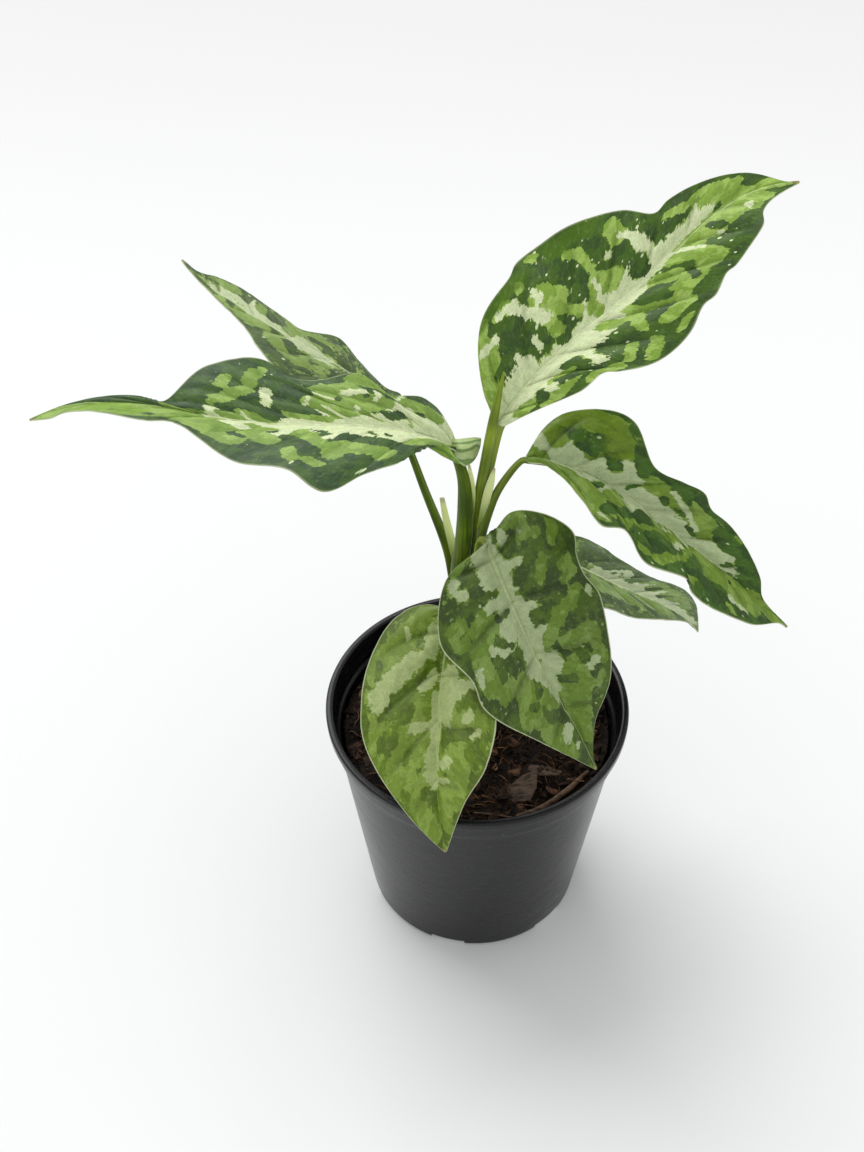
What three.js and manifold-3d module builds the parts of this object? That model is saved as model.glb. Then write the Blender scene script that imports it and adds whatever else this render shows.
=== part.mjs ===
// A young potted chinese evergreen: seven variegated leaves on one short stem, rooted in a
// black nursery pot. Millimetres, +Z up. The origin is the centre of the pot's standing face.
import * as THREE from 'three';
import Module from 'manifold-3d';
import { mergeVertices } from 'three/addons/utils/BufferGeometryUtils.js';

const wasm = await Module();
wasm.setup();

// ---- driving dimensions -------------------------------------------------------------------

const POT_HEIGHT = 105;
const POT_RIM_RADIUS = 60;
const POT_FOOT_RADIUS = 43.5;
const POT_WALL = 1.6;
const POT_SIDES = 48;
const BAND_HEIGHT = 12;          // the wider band under the lip
const LIP_HEIGHT = 4.6;
const LIP_PROUD = 1.5;           // how far the lip stands out over the band
const BAND_STEP = 1.6;           // how far the band stands out over the wall
const FOOT_RISE = 2;             // the raised ring of the floor, between foot and centre pad
const CENTRE_PAD_RADIUS = 20;
const DRAINS = 6;
const DRAIN_RADIUS = 3.5;
const DRAIN_CIRCLE = 32;
const NOTCH_WIDTH = 12;
const NOTCH_DEPTH = 12;

const SOIL_LEVEL = 92;
const GAP = 0.3;                 // clearance between pieces that touch
const SEED = 20;

const STEM_FOOT_Z = 66;          // the buried end of the stem
const STEM_TIP_Z = 163;
const STEM_RADII = [6.6, 6.4, 5.6, 4.9, 3.2];
const STEM_SIDES = 12;
const SCAR_PITCH = 8.5;          // leaf scars ring the stem
const SCAR_DEPTH = 0.4;

const BLADE_THICKNESS = 0.7;
const BLADE_ROWS = 24;
const STALK_STEPS = 12;
const CROSS = [0, 0.09, 0.38, 0.7, 1];   // lateral stations from the midrib to the margin

// ---- materials ----------------------------------------------------------------------------

const paint = (color, roughness) => new THREE.MeshStandardMaterial({ color, roughness, metalness: 0 });
const POT_PLASTIC = paint(0x24262a, 0.5);
const PEAT = paint(0x33231b, 0.95);
const ROOT_FLESH = paint(0xd8c9a4, 0.7);
const STEM_SKIN = paint(0x4f6b2c, 0.55);
const BLADE_GREEN = paint(0x5f8f45, 0.42);
const YOUNG_GREEN = paint(0x74903a, 0.45);
const SHEATH_PALE = paint(0xc9d49a, 0.55);
const BARK = paint(0x4d3326, 0.9);
const TWIG = paint(0x7a5337, 0.85);

const plant = new THREE.Group();

// ---- small helpers ------------------------------------------------------------------------

const radians = THREE.MathUtils.degToRad;
const mix = THREE.MathUtils.lerp;
const point = (x, y, z) => new THREE.Vector3(x, y, z);

/** A repeatable random draw between 0 and 1. */
function randomFrom(seed) {
  let state = seed;
  return () => {
    state = (state * 1664525 + 1013904223) % 4294967296;
    return state / 4294967296;
  };
}

/** A smooth curve through evenly spaced numbers, read at t from 0 to 1. */
function through(values, t) {
  const last = values.length - 1;
  const at = THREE.MathUtils.clamp(t, 0, 1) * last;
  const i = Math.min(Math.floor(at), last - 1);
  const f = at - i;
  const b = values[i];
  const c = values[i + 1];
  const a = i > 0 ? values[i - 1] : 2 * b - c;
  const d = i < last - 1 ? values[i + 2] : 2 * c - b;
  return b + 0.5 * f * (c - a + f * (2 * a - 5 * b + 4 * c - d + f * (3 * (b - c) + d - a)));
}

/** Points spaced evenly along a smooth outline through the given [along, out] pairs. */
function spaced(pairs, count) {
  const fine = 12 * (pairs.length - 1);
  const walk = [];
  let length = 0;
  for (let k = 0; k <= fine; k++) {
    const x = through(pairs.map((p) => p[0]), k / fine);
    const y = through(pairs.map((p) => p[1]), k / fine);
    if (k) length += Math.hypot(x - walk[k - 1].x, y - walk[k - 1].y);
    walk.push({ x, y, length });
  }
  const result = [];
  let k = 1;
  for (let n = 0; n <= count; n++) {
    const target = (length * n) / count;
    while (k < fine && walk[k].length < target) k++;
    const from = walk[k - 1];
    const to = walk[k];
    const f = (target - from.length) / (to.length - from.length);
    result.push([mix(from.x, to.x, f), mix(from.y, to.y, f)]);
  }
  return result;
}

/** An indexed geometry whose faces point outwards. */
function closed(points, triangles) {
  let volume = 0;
  for (const [a, b, c] of triangles) volume += points[a].dot(points[b].clone().cross(points[c]));
  const turned = volume < 0 ? triangles.map(([a, b, c]) => [a, c, b]) : triangles;
  const geometry = new THREE.BufferGeometry();
  const places = points.flatMap((p) => [p.x, p.y, p.z]);
  geometry.setAttribute('position', new THREE.Float32BufferAttribute(places, 3));
  geometry.setIndex(turned.flat());
  return geometry;
}

/**
 * A solid through a row of rings. Each ring holds an upper row of points and then a lower row
 * that comes back beneath it, so both faces are split alike and both ends close as strips.
 */
function loft(rings) {
  const size = rings[0].length;
  const half = size / 2;
  const triangles = [];
  for (let i = 0; i + 1 < rings.length; i++) {
    for (let k = 0; k < size; k++) {
      const next = (k + 1) % size;
      const a = i * size + k;
      const b = i * size + next;
      const c = b + size;
      const d = a + size;
      if (k < half) triangles.push([a, b, c], [a, c, d]);
      else triangles.push([a, b, d], [b, c, d]);
    }
  }
  for (const [start, flip] of [[0, true], [(rings.length - 1) * size, false]]) {
    for (let k = 0; k < half - 1; k++) {
      const a = start + k;
      const b = start + k + 1;
      const c = start + size - 2 - k;
      const d = start + size - 1 - k;
      for (const [p, q, r] of [[a, b, c], [a, c, d]]) triangles.push(flip ? [p, r, q] : [p, q, r]);
    }
  }
  return closed(rings.flat(), triangles);
}

/** The solid of a geometry, ready to be cut or joined. */
function solid(geometry) {
  const bare = geometry.clone();
  bare.deleteAttribute('normal');
  bare.deleteAttribute('uv');
  const merged = mergeVertices(bare, 1e-4);
  return new wasm.Manifold(new wasm.Mesh({
    numProp: 3,
    vertProperties: new Float32Array(merged.attributes.position.array),
    triVerts: new Uint32Array(merged.index.array),
  }));
}

/** The geometry of a cut or joined solid. */
function geometryOf(body) {
  const mesh = body.getMesh();
  const geometry = new THREE.BufferGeometry();
  const places = new Float32Array(mesh.vertProperties);
  geometry.setAttribute('position', new THREE.BufferAttribute(places, 3));
  geometry.setIndex(new THREE.BufferAttribute(new Uint32Array(mesh.triVerts), 1));
  return geometry;
}

function addPiece(name, geometry, material) {
  geometry.computeVertexNormals();
  const mesh = new THREE.Mesh(geometry, material);
  mesh.name = name;
  plant.add(mesh);
  return mesh;
}

/** A revolved solid, its profile a list of [radius, height] that starts and ends on the axis. */
function turned(profile, sides) {
  const geometry = new THREE.LatheGeometry(profile.map(([r, z]) => new THREE.Vector2(r, z)), sides);
  geometry.rotateX(Math.PI / 2);
  return geometry;
}

/** A round tube along a curve: its radius is read from a list, and may be grown all over. */
function tube(curve, radii, sides, steps, grow = 0) {
  const rings = [];
  let side = null;
  for (let i = 0; i <= steps; i++) {
    const t = i / steps;
    const centre = curve.getPoint(t);
    const along = curve.getTangent(t);
    if (i === 0) centre.addScaledVector(along, -grow);
    if (i === steps) centre.addScaledVector(along, grow);
    if (!side) side = Math.abs(along.z) > 0.7 ? point(1, 0, 0) : point(0, 0, 1);
    side = side.clone().addScaledVector(along, -side.dot(along)).normalize();
    const up = side.clone().cross(along);
    const radius = through(radii, t) + grow;
    const ring = [];
    for (let k = 0; k < sides; k++) {
      const turn = (2 * Math.PI * (k + 0.5)) / sides;
      ring.push(centre.clone()
        .addScaledVector(side, radius * Math.cos(turn))
        .addScaledVector(up, radius * Math.sin(turn)));
    }
    rings.push(ring);
  }
  return loft(rings);
}

// ---- pot ----------------------------------------------------------------------------------

const bandRadius = POT_RIM_RADIUS - LIP_PROUD;
const bandFootZ = POT_HEIGHT - BAND_HEIGHT;
const wallTopRadius = bandRadius - BAND_STEP - 1;
const insideTopRadius = wallTopRadius - POT_WALL;
const insideFootRadius = POT_FOOT_RADIUS - POT_WALL;
const floorTopZ = FOOT_RISE + POT_WALL;

const potProfile = [
  [0, 0],
  [CENTRE_PAD_RADIUS, 0],
  [CENTRE_PAD_RADIUS + 2, FOOT_RISE],
  [POT_FOOT_RADIUS - 5, FOOT_RISE],
  [POT_FOOT_RADIUS - 3.6, 0],
  [POT_FOOT_RADIUS - 0.8, 0],
  [POT_FOOT_RADIUS, 1],
  [wallTopRadius, bandFootZ - 1.4],
  [bandRadius - 1, bandFootZ],
  [bandRadius, POT_HEIGHT - LIP_HEIGHT],
  [POT_RIM_RADIUS - 0.3, POT_HEIGHT - LIP_HEIGHT + 0.5],
  [POT_RIM_RADIUS, POT_HEIGHT - 1.8],
  [POT_RIM_RADIUS - 0.5, POT_HEIGHT - 0.4],
  [POT_RIM_RADIUS - 1.4, POT_HEIGHT],
  [POT_RIM_RADIUS - 2.4, POT_HEIGHT - 0.6],
  [bandRadius - POT_WALL, POT_HEIGHT - 2.4],
  [bandRadius - 1 - POT_WALL, bandFootZ + 0.6],
  [insideTopRadius, bandFootZ - 1],
  [insideFootRadius, floorTopZ + 1.5],
  [insideFootRadius - 1.5, floorTopZ],
  [CENTRE_PAD_RADIUS + 1, floorTopZ],
  [CENTRE_PAD_RADIUS - 1, POT_WALL],
  [0, POT_WALL],
];

let potBody = solid(turned(potProfile, POT_SIDES));
for (let n = 0; n < DRAINS; n++) {
  const turn = (2 * Math.PI * (n + 0.25)) / DRAINS;
  const drain = new THREE.CylinderGeometry(DRAIN_RADIUS, DRAIN_RADIUS, 6, 12);
  drain.rotateX(Math.PI / 2).translate(DRAIN_CIRCLE * Math.cos(turn), DRAIN_CIRCLE * Math.sin(turn), 3);
  const notch = new THREE.BoxGeometry(NOTCH_DEPTH, NOTCH_WIDTH, 2 * FOOT_RISE);
  notch.translate(POT_FOOT_RADIUS, 0, 0).rotateZ(turn);
  potBody = potBody.subtract(solid(drain)).subtract(solid(notch));
}
addPiece('pot', geometryOf(potBody), POT_PLASTIC);

// ---- stem and roots -----------------------------------------------------------------------

/** The middle of the stem at height z. It leans a little towards the light. */
function stemAxis(z) {
  const t = (z - STEM_FOOT_Z) / (STEM_TIP_Z - STEM_FOOT_Z);
  return point(through([1, 0, -1.4, -3], t), through([5.5, 7.5, 10.5, 13.6], t), z);
}

const stemRadius = (z) => through(STEM_RADII, (z - STEM_FOOT_Z) / (STEM_TIP_Z - STEM_FOOT_Z));

/** Rings of the stem; narrow grooves mark the scars of fallen leaves. */
function stemRings(grow, scarred) {
  const heights = [STEM_FOOT_Z];
  for (let z = SOIL_LEVEL + 4; z < STEM_TIP_Z - 4; z += SCAR_PITCH) heights.push(z - 0.9, z, z + 0.9);
  heights.push(STEM_TIP_Z - 1);
  const rings = heights.map((z, i) => {
    const groove = scarred && i % 3 === 2 ? SCAR_DEPTH : 0;
    return stemRing(z, stemRadius(z) - groove + grow);
  });
  rings.unshift(stemRing(STEM_FOOT_Z - 1 - grow, stemRadius(STEM_FOOT_Z) * 0.8 + grow));
  rings.push(stemRing(STEM_TIP_Z, 1.6 + grow));
  return rings;
}

function stemRing(z, radius) {
  const ring = [];
  for (let k = 0; k < STEM_SIDES; k++) {
    const turn = (2 * Math.PI * (k + 0.5)) / STEM_SIDES;
    ring.push(stemAxis(z).add(point(radius * Math.cos(turn), radius * Math.sin(turn), 0)));
  }
  return ring;
}

addPiece('stem', loft(stemRings(0, true)), STEM_SKIN);

const ROOTS = 7;
const ROOT_RADII = [2.2, 1.7, 1.3, 0.8];
const KNOT_RADIUS = 7;
const KNOT_SQUASH = 0.7;
const KNOT_TOP_Z = STEM_FOOT_Z - 1 - GAP;

/** Thick roots fan out and down from a knot right under the stem. */
function rootBall(grow) {
  const random = randomFrom(SEED);
  const middle = stemAxis(STEM_FOOT_Z);
  const knot = new THREE.SphereGeometry(KNOT_RADIUS + grow, 12, 7);
  knot.scale(1, 1, KNOT_SQUASH).translate(middle.x, middle.y, KNOT_TOP_Z - KNOT_RADIUS * KNOT_SQUASH);
  let body = solid(knot);
  for (let n = 0; n < ROOTS; n++) {
    const turn = (2 * Math.PI * (n + 0.35 * random())) / ROOTS;
    const reach = 24 + 8 * random();
    const drop = 30 + 16 * random();
    const bend = 0.5 * (random() - 0.5);
    const way = (out, down, twist) => point(
      middle.x + out * Math.cos(turn + twist),
      middle.y + out * Math.sin(turn + twist),
      KNOT_TOP_Z - 5 - down,
    );
    const curve = new THREE.CatmullRomCurve3([
      way(2, 0, 0),
      way(reach * 0.5, drop * 0.12, bend * 0.5),
      way(reach * 0.9, drop * 0.5, bend),
      way(reach, drop, bend * 1.6),
    ]);
    body = body.add(solid(tube(curve, ROOT_RADII, 6, 6, grow)));
  }
  return body;
}

const cropTop = solid(new THREE.BoxGeometry(60, 60, 20).translate(0, 0, KNOT_TOP_Z + 10));
addPiece('roots', geometryOf(rootBall(0).subtract(cropTop)), ROOT_FLESH);

// ---- soil and what lies on it -------------------------------------------------------------

/** The rough level of the peat: low mounds, and a little lower along the wall. */
function soilHeight(x, y) {
  const mounds = 1.3 * Math.sin(x / 11 + 1) * Math.cos(y / 9) + 0.8 * Math.sin(x / 5 - y / 7);
  return SOIL_LEVEL + mounds - 1.5 * (Math.hypot(x, y) / POT_RIM_RADIUS) ** 3;
}

function insideRadius(z) {
  const climb = (z - floorTopZ - 1.5) / (bandFootZ - 2.5 - floorTopZ);
  return mix(insideFootRadius, insideTopRadius, climb);
}

/** The peat fills the pot: rings from the middle of its top, over the wall, to the floor. */
function peat() {
  const random = randomFrom(SEED);
  const sides = 32;
  const tops = [7, 14, 21, 28, 35, 41, 46, 50];
  const points = [point(0, 0, soilHeight(0, 0))];
  const addRing = (radius, heightAt) => {
    for (let k = 0; k < sides; k++) {
      const turn = (2 * Math.PI * k) / sides;
      points.push(point(radius * Math.cos(turn), radius * Math.sin(turn), heightAt(turn)));
    }
  };
  for (const radius of tops) {
    const crumb = () => 1.9 * (random() - 0.5);
    addRing(radius, (turn) => soilHeight(radius * Math.cos(turn), radius * Math.sin(turn)) + crumb());
  }
  const edgeZ = SOIL_LEVEL - 3.5;
  addRing(insideRadius(edgeZ) - GAP - 0.1, () => edgeZ);
  addRing(insideFootRadius - GAP - 0.1, () => floorTopZ + 1.5 + GAP);
  addRing(insideFootRadius - 1.6 - GAP, () => floorTopZ + GAP);
  addRing(CENTRE_PAD_RADIUS + 0.9, () => floorTopZ + GAP);
  addRing(CENTRE_PAD_RADIUS - 1.3, () => POT_WALL + GAP);
  const triangles = [];
  const rings = (points.length - 1) / sides;
  for (let k = 0; k < sides; k++) {
    const next = (k + 1) % sides;
    triangles.push([0, 1 + k, 1 + next]);
    for (let i = 0; i + 1 < rings; i++) {
      const a = 1 + i * sides;
      triangles.push([a + k, a + sides + k, a + sides + next], [a + k, a + sides + next, a + next]);
    }
    triangles.push([points.length, 1 + (rings - 1) * sides + next, 1 + (rings - 1) * sides + k]);
  }
  points.push(point(0, 0, POT_WALL + GAP));
  return closed(points, triangles);
}

/** A flat flake of bark, its outline [x, y] about its middle, grown all round for its pocket. */
function flake(spec, grow) {
  const shape = new THREE.Shape(spec.outline.map(([x, y]) => {
    const reach = Math.hypot(x, y);
    return new THREE.Vector2(x * (1 + (1.4 * grow) / reach), y * (1 + (1.4 * grow) / reach));
  }));
  const thickness = spec.thickness + 2 * grow;
  const geometry = new THREE.ExtrudeGeometry(shape, { depth: thickness, bevelEnabled: false });
  geometry.translate(0, 0, -thickness / 2);
  geometry.rotateX(radians(spec.tilt[0])).rotateY(radians(spec.tilt[1]));
  return geometry.translate(spec.at[0], spec.at[1], soilHeight(...spec.at) + spec.lift);
}

const FLAKES = [
  { name: 'bark_flake_front', at: [14, -32], lift: 1.6, thickness: 1.6, tilt: [14, -12],
    outline: [[-7, -2], [-3, -4.5], [4, -5], [7, 0], [5, 5], [-1, 3]] },
  { name: 'bark_flake_right', at: [25.5, -24], lift: 1.3, thickness: 1.5, tilt: [-10, 9],
    outline: [[-7, -1], [-2, -3], [6, -1.5], [7.5, 1.5], [0, 3], [-6, 2]] },
  { name: 'bark_flake_side', at: [37, 2], lift: 1.2, thickness: 1.4, tilt: [9, 12],
    outline: [[-4, -5], [2, -6], [4.5, 0], [3, 6], [-3, 4]] },
  { name: 'bark_flake_left', at: [-36, -14], lift: 1.4, thickness: 1.6, tilt: [-12, -8],
    outline: [[-5, -3], [0, -5], [5, -2], [4, 4], [-2, 5]] },
  { name: 'bark_flake_rear', at: [-16, 33], lift: 1.4, thickness: 1.7, tilt: [10, -9],
    outline: [[-8, -2], [-1, -4], [7, -2], [6, 3], [-4, 4]] },
  { name: 'bark_flake_rear_right', at: [24, 30], lift: 1.2, thickness: 1.5, tilt: [-8, 10],
    outline: [[-5, -4], [3, -4], [6, 1], [1, 4.5], [-5, 3]] },
];

const TWIGS = [
  { name: 'twig_long', radii: [1.1, 1.25, 0.9], lift: 1.1,
    route: [[12, -44], [22, -39.5], [31, -33], [38.5, -24]] },
  { name: 'twig_thin', radii: [0.6, 0.65, 0.5], lift: 0.7,
    route: [[-5, -42], [1, -44], [9, -46.5]] },
  { name: 'twig_rear', radii: [0.9, 1, 0.7], lift: 0.9,
    route: [[-40, 8], [-36, 17], [-29, 25]] },
];

function twig(spec, grow) {
  const heights = spec.route.map(([x, y]) => point(x, y, soilHeight(x, y) + spec.lift));
  return tube(new THREE.CatmullRomCurve3(heights), spec.radii, 8, 8, grow);
}

let soilBody = solid(peat()).subtract(solid(loft(stemRings(GAP, false)))).subtract(rootBall(GAP));
for (const spec of FLAKES) {
  addPiece(spec.name, flake(spec, 0), BARK);
  soilBody = soilBody.subtract(solid(flake(spec, GAP)));
}
for (const spec of TWIGS) {
  addPiece(spec.name, twig(spec, 0), TWIG);
  soilBody = soilBody.subtract(solid(twig(spec, GAP)));
}
const soilParts = soilBody.decompose().sort((a, b) => b.volume() - a.volume());
addPiece('soil', geometryOf(soilParts[0]), PEAT);

// ---- leaves -------------------------------------------------------------------------------

/**
 * Each leaf is one grown piece: a stalk that clasps the stem, then the blade.
 *   base      where stalk and blade meet
 *   length    of the midrib
 *   heading   compass angle of the midrib from base to tip, degrees from +X
 *   pitch     its climb from base to tip, degrees
 *   roll      how far the blade's right side is lifted
 *   fold      angle of each half above the midrib's plane, at base and tip
 *   arch      how fast each half curls down again, degrees per mm
 *   wave      height, count and the phases of the right and left margins
 *   right, left   the flattened outline as [along, out] pairs
 *   clasp     height and compass angle of the foot on the stem
 *   route     points of the stalk between foot and blade
 *   breadth, depth   half measures of the stalk's section, foot to blade
 */
const LEAVES = {
  leaf_upright: {
    base: [6, 16, 236], length: 135,
    heading: [19, 23, 28, 11], pitch: [65, 33, 36, -6], roll: [-28, -28, -28, -20],
    fold: [25, 10], arch: 0.5, half: 31, wave: [2.5, 3.5, 0.1, 0.55],
    right: [
      [6, 6], [18, 12], [31, 18], [42, 18], [50, 24],
      [61, 28], [78, 22], [92, 20], [115, 14], [126, 5],
    ],
    left: [
      [3, 6], [9, 13], [22, 25], [40, 33], [52, 33],
      [67, 30], [85, 18], [97, 13], [112, 9], [128, 2],
    ],
    clasp: [151, 66],
    route: [[-0.6, 19.2, 172], [0.2, 19, 188], [1, 18, 203], [2.9, 16.9, 218]],
    breadth: [3, 2.3, 1.9, 1.7], depth: [1.2, 1.6, 1.6, 1.4],
  },
  leaf_left: {
    base: [-9, 16, 223], length: 157,
    heading: [207, 182, 172, 190], pitch: [51, 2, 7, -21], roll: [14, 14, 14, 14],
    fold: [25, 15], arch: 1, half: 30, wave: [2.5, 3.5, 0.3, 0.8],
    right: [
      [-12, 9], [3, 6], [9, 11], [19, 15], [33, 15], [41, 20],
      [56, 17], [77, 23], [97, 19], [109, 5], [133, 3],
    ],
    left: [
      [-2, 6], [9, 13], [26, 14], [40, 23], [54, 30],
      [64, 22], [81, 19], [103, 7], [130, 5], [149, 2],
    ],
    clasp: [147, 230],
    route: [[-8.2, 11, 166], [-6.8, 11.8, 178], [-6.6, 13, 194], [-7, 14.2, 210]],
    breadth: [3.4, 3, 2.9, 2.4], depth: [1.3, 1.8, 1.9, 1.6],
  },
  leaf_rear_left: {
    base: [-32, 42, 219], length: 100,
    heading: [152, 155, 145, 132], pitch: [38, 20, 10, 17], roll: [-15, -15, -15, -15],
    fold: [8, 5], arch: 0.5, half: 25, wave: [1.5, 3, 0.2, 0.7],
    right: [[6, 8], [21, 10], [33, 16], [46, 8], [60, 10], [79, 10], [92, 2]],
    left: [[3, 8], [12, 16], [26, 20], [44, 17], [62, 9], [82, 3]],
    clasp: [133, 140],
    route: [[-9.4, 17.4, 156], [-12, 20.6, 170], [-20.5, 28, 193], [-25.6, 34, 206]],
    breadth: [3, 2.4, 1.7, 1.3], depth: [1.2, 1.7, 1.5, 1.2],
  },
  leaf_right: {
    base: [16, 15, 220], length: 114,
    heading: [-19, -26, -21, -26], pitch: [7, -23, -33, -35], roll: [-15, -15, -15, -15],
    fold: [30, 18], arch: 0.6, half: 28, wave: [2.5, 3.5, 0.2, 0.6],
    right: [[7, 3], [22, 13], [36, 20], [46, 16], [60, 20], [74, 18], [98, 12], [109, 2]],
    left: [[3, 8], [9, 18], [27, 25], [42, 15], [58, 18], [75, 15], [94, 8], [104, 2]],
    clasp: [141, -33],
    route: [[0.9, 9.2, 164], [0, 10.4, 182], [2.8, 11.8, 201], [8.4, 13.8, 213.6]],
    breadth: [3, 2.5, 2, 1.2], depth: [1.2, 1.7, 1.6, 1.1],
  },
  leaf_rear_right: {
    base: [23, 24, 164], length: 82,
    heading: [4, 2, 6, -3], pitch: [-24, -35, -34, -54], roll: [0, 0, 0, 0],
    fold: [15, 10], arch: 0.8, half: 20, wave: [1, 3, 0.2, 0.7],
    right: [[-1, 12], [10, 22], [28, 19], [54, 12], [72, 4]],
    left: [[3, 9], [17, 14], [29, 17], [46, 13], [71, 15], [79, 5]],
    clasp: [115, 24],
    route: [[9, 15.2, 136], [12.2, 19.6, 153], [16.4, 23, 164.4]],
    breadth: [2.8, 2.2, 1.6, 1.2], depth: [1.2, 1.6, 1.5, 1.1],
  },
  leaf_front: {
    base: [2, 2, 190], length: 94,
    heading: [-64, -55, -43, -44], pitch: [-25, -43, -49, -60], roll: [-15, -15, -15, -15],
    fold: [15, 10], arch: 0.6, half: 32, wave: [1.5, 2.5, 0.1, 0.6],
    right: [[-2, 8], [7, 20], [26, 31], [46, 27], [71, 17], [88, 4]],
    left: [[-7, 12], [-1, 24], [11, 31], [33, 30], [57, 25], [77, 9], [88, 2]],
    clasp: [124, -84],
    route: [[-1.4, 2.6, 146], [-2, 3.2, 166], [-1.6, 4.6, 182], [-0.4, 5.2, 189.6]],
    breadth: [3, 2.4, 1.8, 1.4], depth: [1.2, 1.7, 1.5, 1.2],
  },
  leaf_front_left: {
    base: [-11, 0, 149], length: 89,
    heading: [-98, -96, -89, -73], pitch: [4, -20, -37, -50], roll: [-15, -15, -15, -15],
    fold: [28, 20], arch: 0.6, half: 26, wave: [1.2, 2.5, 0.3, 0.8],
    right: [[-9, 6], [-6, 18], [16, 29], [37, 29], [55, 25], [76, 9]],
    left: [[0, 7], [15, 16], [42, 25], [60, 20], [80, 6]],
    clasp: [108, -155],
    route: [[-10.4, 6.6, 128], [-11.6, 8, 141], [-11, 6.2, 148]],
    breadth: [2.8, 2.2, 1.6, 1.3], depth: [1.2, 1.6, 1.5, 1.2],
  },
};

const MIDRIB_STEPS = 60;

/** Point, tangent, right-hand side and upward normal along the midrib. */
function midrib(leaf) {
  const step = leaf.length / MIDRIB_STEPS;
  const stations = [];
  const at = point(...leaf.base);
  for (let i = 0; i <= MIDRIB_STEPS; i++) {
    const t = i / MIDRIB_STEPS;
    const heading = radians(through(leaf.heading, t));
    const pitch = radians(through(leaf.pitch, t));
    const roll = radians(through(leaf.roll, t));
    const along = point(
      Math.cos(pitch) * Math.cos(heading),
      Math.cos(pitch) * Math.sin(heading),
      Math.sin(pitch),
    );
    if (i) at.addScaledVector(stations[i - 1].along, step / 2).addScaledVector(along, step / 2);
    const level = along.clone().cross(point(0, 0, 1)).normalize();
    const up = level.clone().cross(along);
    const side = level.clone().multiplyScalar(Math.cos(roll)).addScaledVector(up, Math.sin(roll));
    const normal = up.clone().multiplyScalar(Math.cos(roll)).addScaledVector(level, -Math.sin(roll));
    stations.push({ at: at.clone(), along, side, normal });
  }
  return stations;
}

/** Where a point of the flattened blade, x along and y to the right, lies on the grown leaf. */
function grown(leaf, stations, x, y) {
  const t = THREE.MathUtils.clamp(x / leaf.length, 0, 1);
  const place = Math.min(t * MIDRIB_STEPS, MIDRIB_STEPS - 1e-6);
  const i = Math.floor(place);
  const f = place - i;
  const blend = (key) => stations[i][key].clone().lerp(stations[i + 1][key], f);
  const fold = radians(mix(leaf.fold[0], leaf.fold[1], t));
  const curl = radians(leaf.arch);
  const out = Math.abs(y);
  const sideways = (Math.sin(fold) - Math.sin(fold - curl * out)) / curl;
  const lift = (Math.cos(fold - curl * out) - Math.cos(fold)) / curl;
  const [height, count, phaseRight, phaseLeft] = leaf.wave;
  const grip = Math.min(out / leaf.half, 1.3) ** 2 * Math.sqrt(Math.sin(Math.PI * t));
  const wave = height * grip * Math.sin(2 * Math.PI * (count * t + (y > 0 ? phaseRight : phaseLeft)));
  return blend('at')
    .addScaledVector(blend('along'), x - t * leaf.length)
    .addScaledVector(blend('side'), Math.sign(y) * sideways)
    .addScaledVector(blend('normal'), lift + wave);
}

const columns = [...CROSS.slice(1).reverse().map((v) => -v), ...CROSS];
const REACH = CROSS.length - 1;
const VEIN_SWEEP = 1.6;          // side veins start nearer the base than they end
const TIP_HALF = 0.4;

/** Upper and lower points of the blade, row by row, with a rib under the midrib. */
function bladeRings(leaf, stations, ribDepth) {
  const edges = {
    left: spaced([[0, leaf.breadth.at(-1)], ...leaf.left, [leaf.length, TIP_HALF]], BLADE_ROWS),
    right: spaced([[0, leaf.breadth.at(-1)], ...leaf.right, [leaf.length, TIP_HALF]], BLADE_ROWS),
  };
  const rows = [];
  for (let i = 1; i <= BLADE_ROWS; i++) {
    const root = leaf.length * (i / BLADE_ROWS) ** VEIN_SWEEP;
    rows.push(columns.map((v) => {
      const [ex, ey] = v < 0 ? edges.left[i] : edges.right[i];
      return grown(leaf, stations, mix(root, ex, Math.abs(v)), ey * v);
    }));
  }
  return rows.map((row, i) => {
    const above = rows[Math.min(i + 1, rows.length - 1)];
    const below = rows[Math.max(i - 1, 0)];
    const normals = row.map((p, j) => {
      const across = row[Math.min(j + 1, row.length - 1)].clone().sub(row[Math.max(j - 1, 0)]);
      return across.cross(above[j].clone().sub(below[j])).normalize();
    });
    const rib = ribDepth * (1 - (i + 1) / BLADE_ROWS) ** 1.4;
    const upper = row.map((p, j) => p.clone().addScaledVector(normals[j], BLADE_THICKNESS / 2));
    const lower = row.map((p, j) => {
      const near = j === REACH ? 1 : Math.abs(j - REACH) === 1 ? 0.45 : 0;
      return p.clone().addScaledVector(normals[j], -BLADE_THICKNESS / 2 - rib * near);
    });
    return [...upper, ...lower.reverse()];
  });
}

const smooth = THREE.MathUtils.smoothstep;
const CLASP_SPAN = radians(45);
const CLASP_HEIGHT = 18;         // over this climb the clasping foot turns into a round stalk

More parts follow.
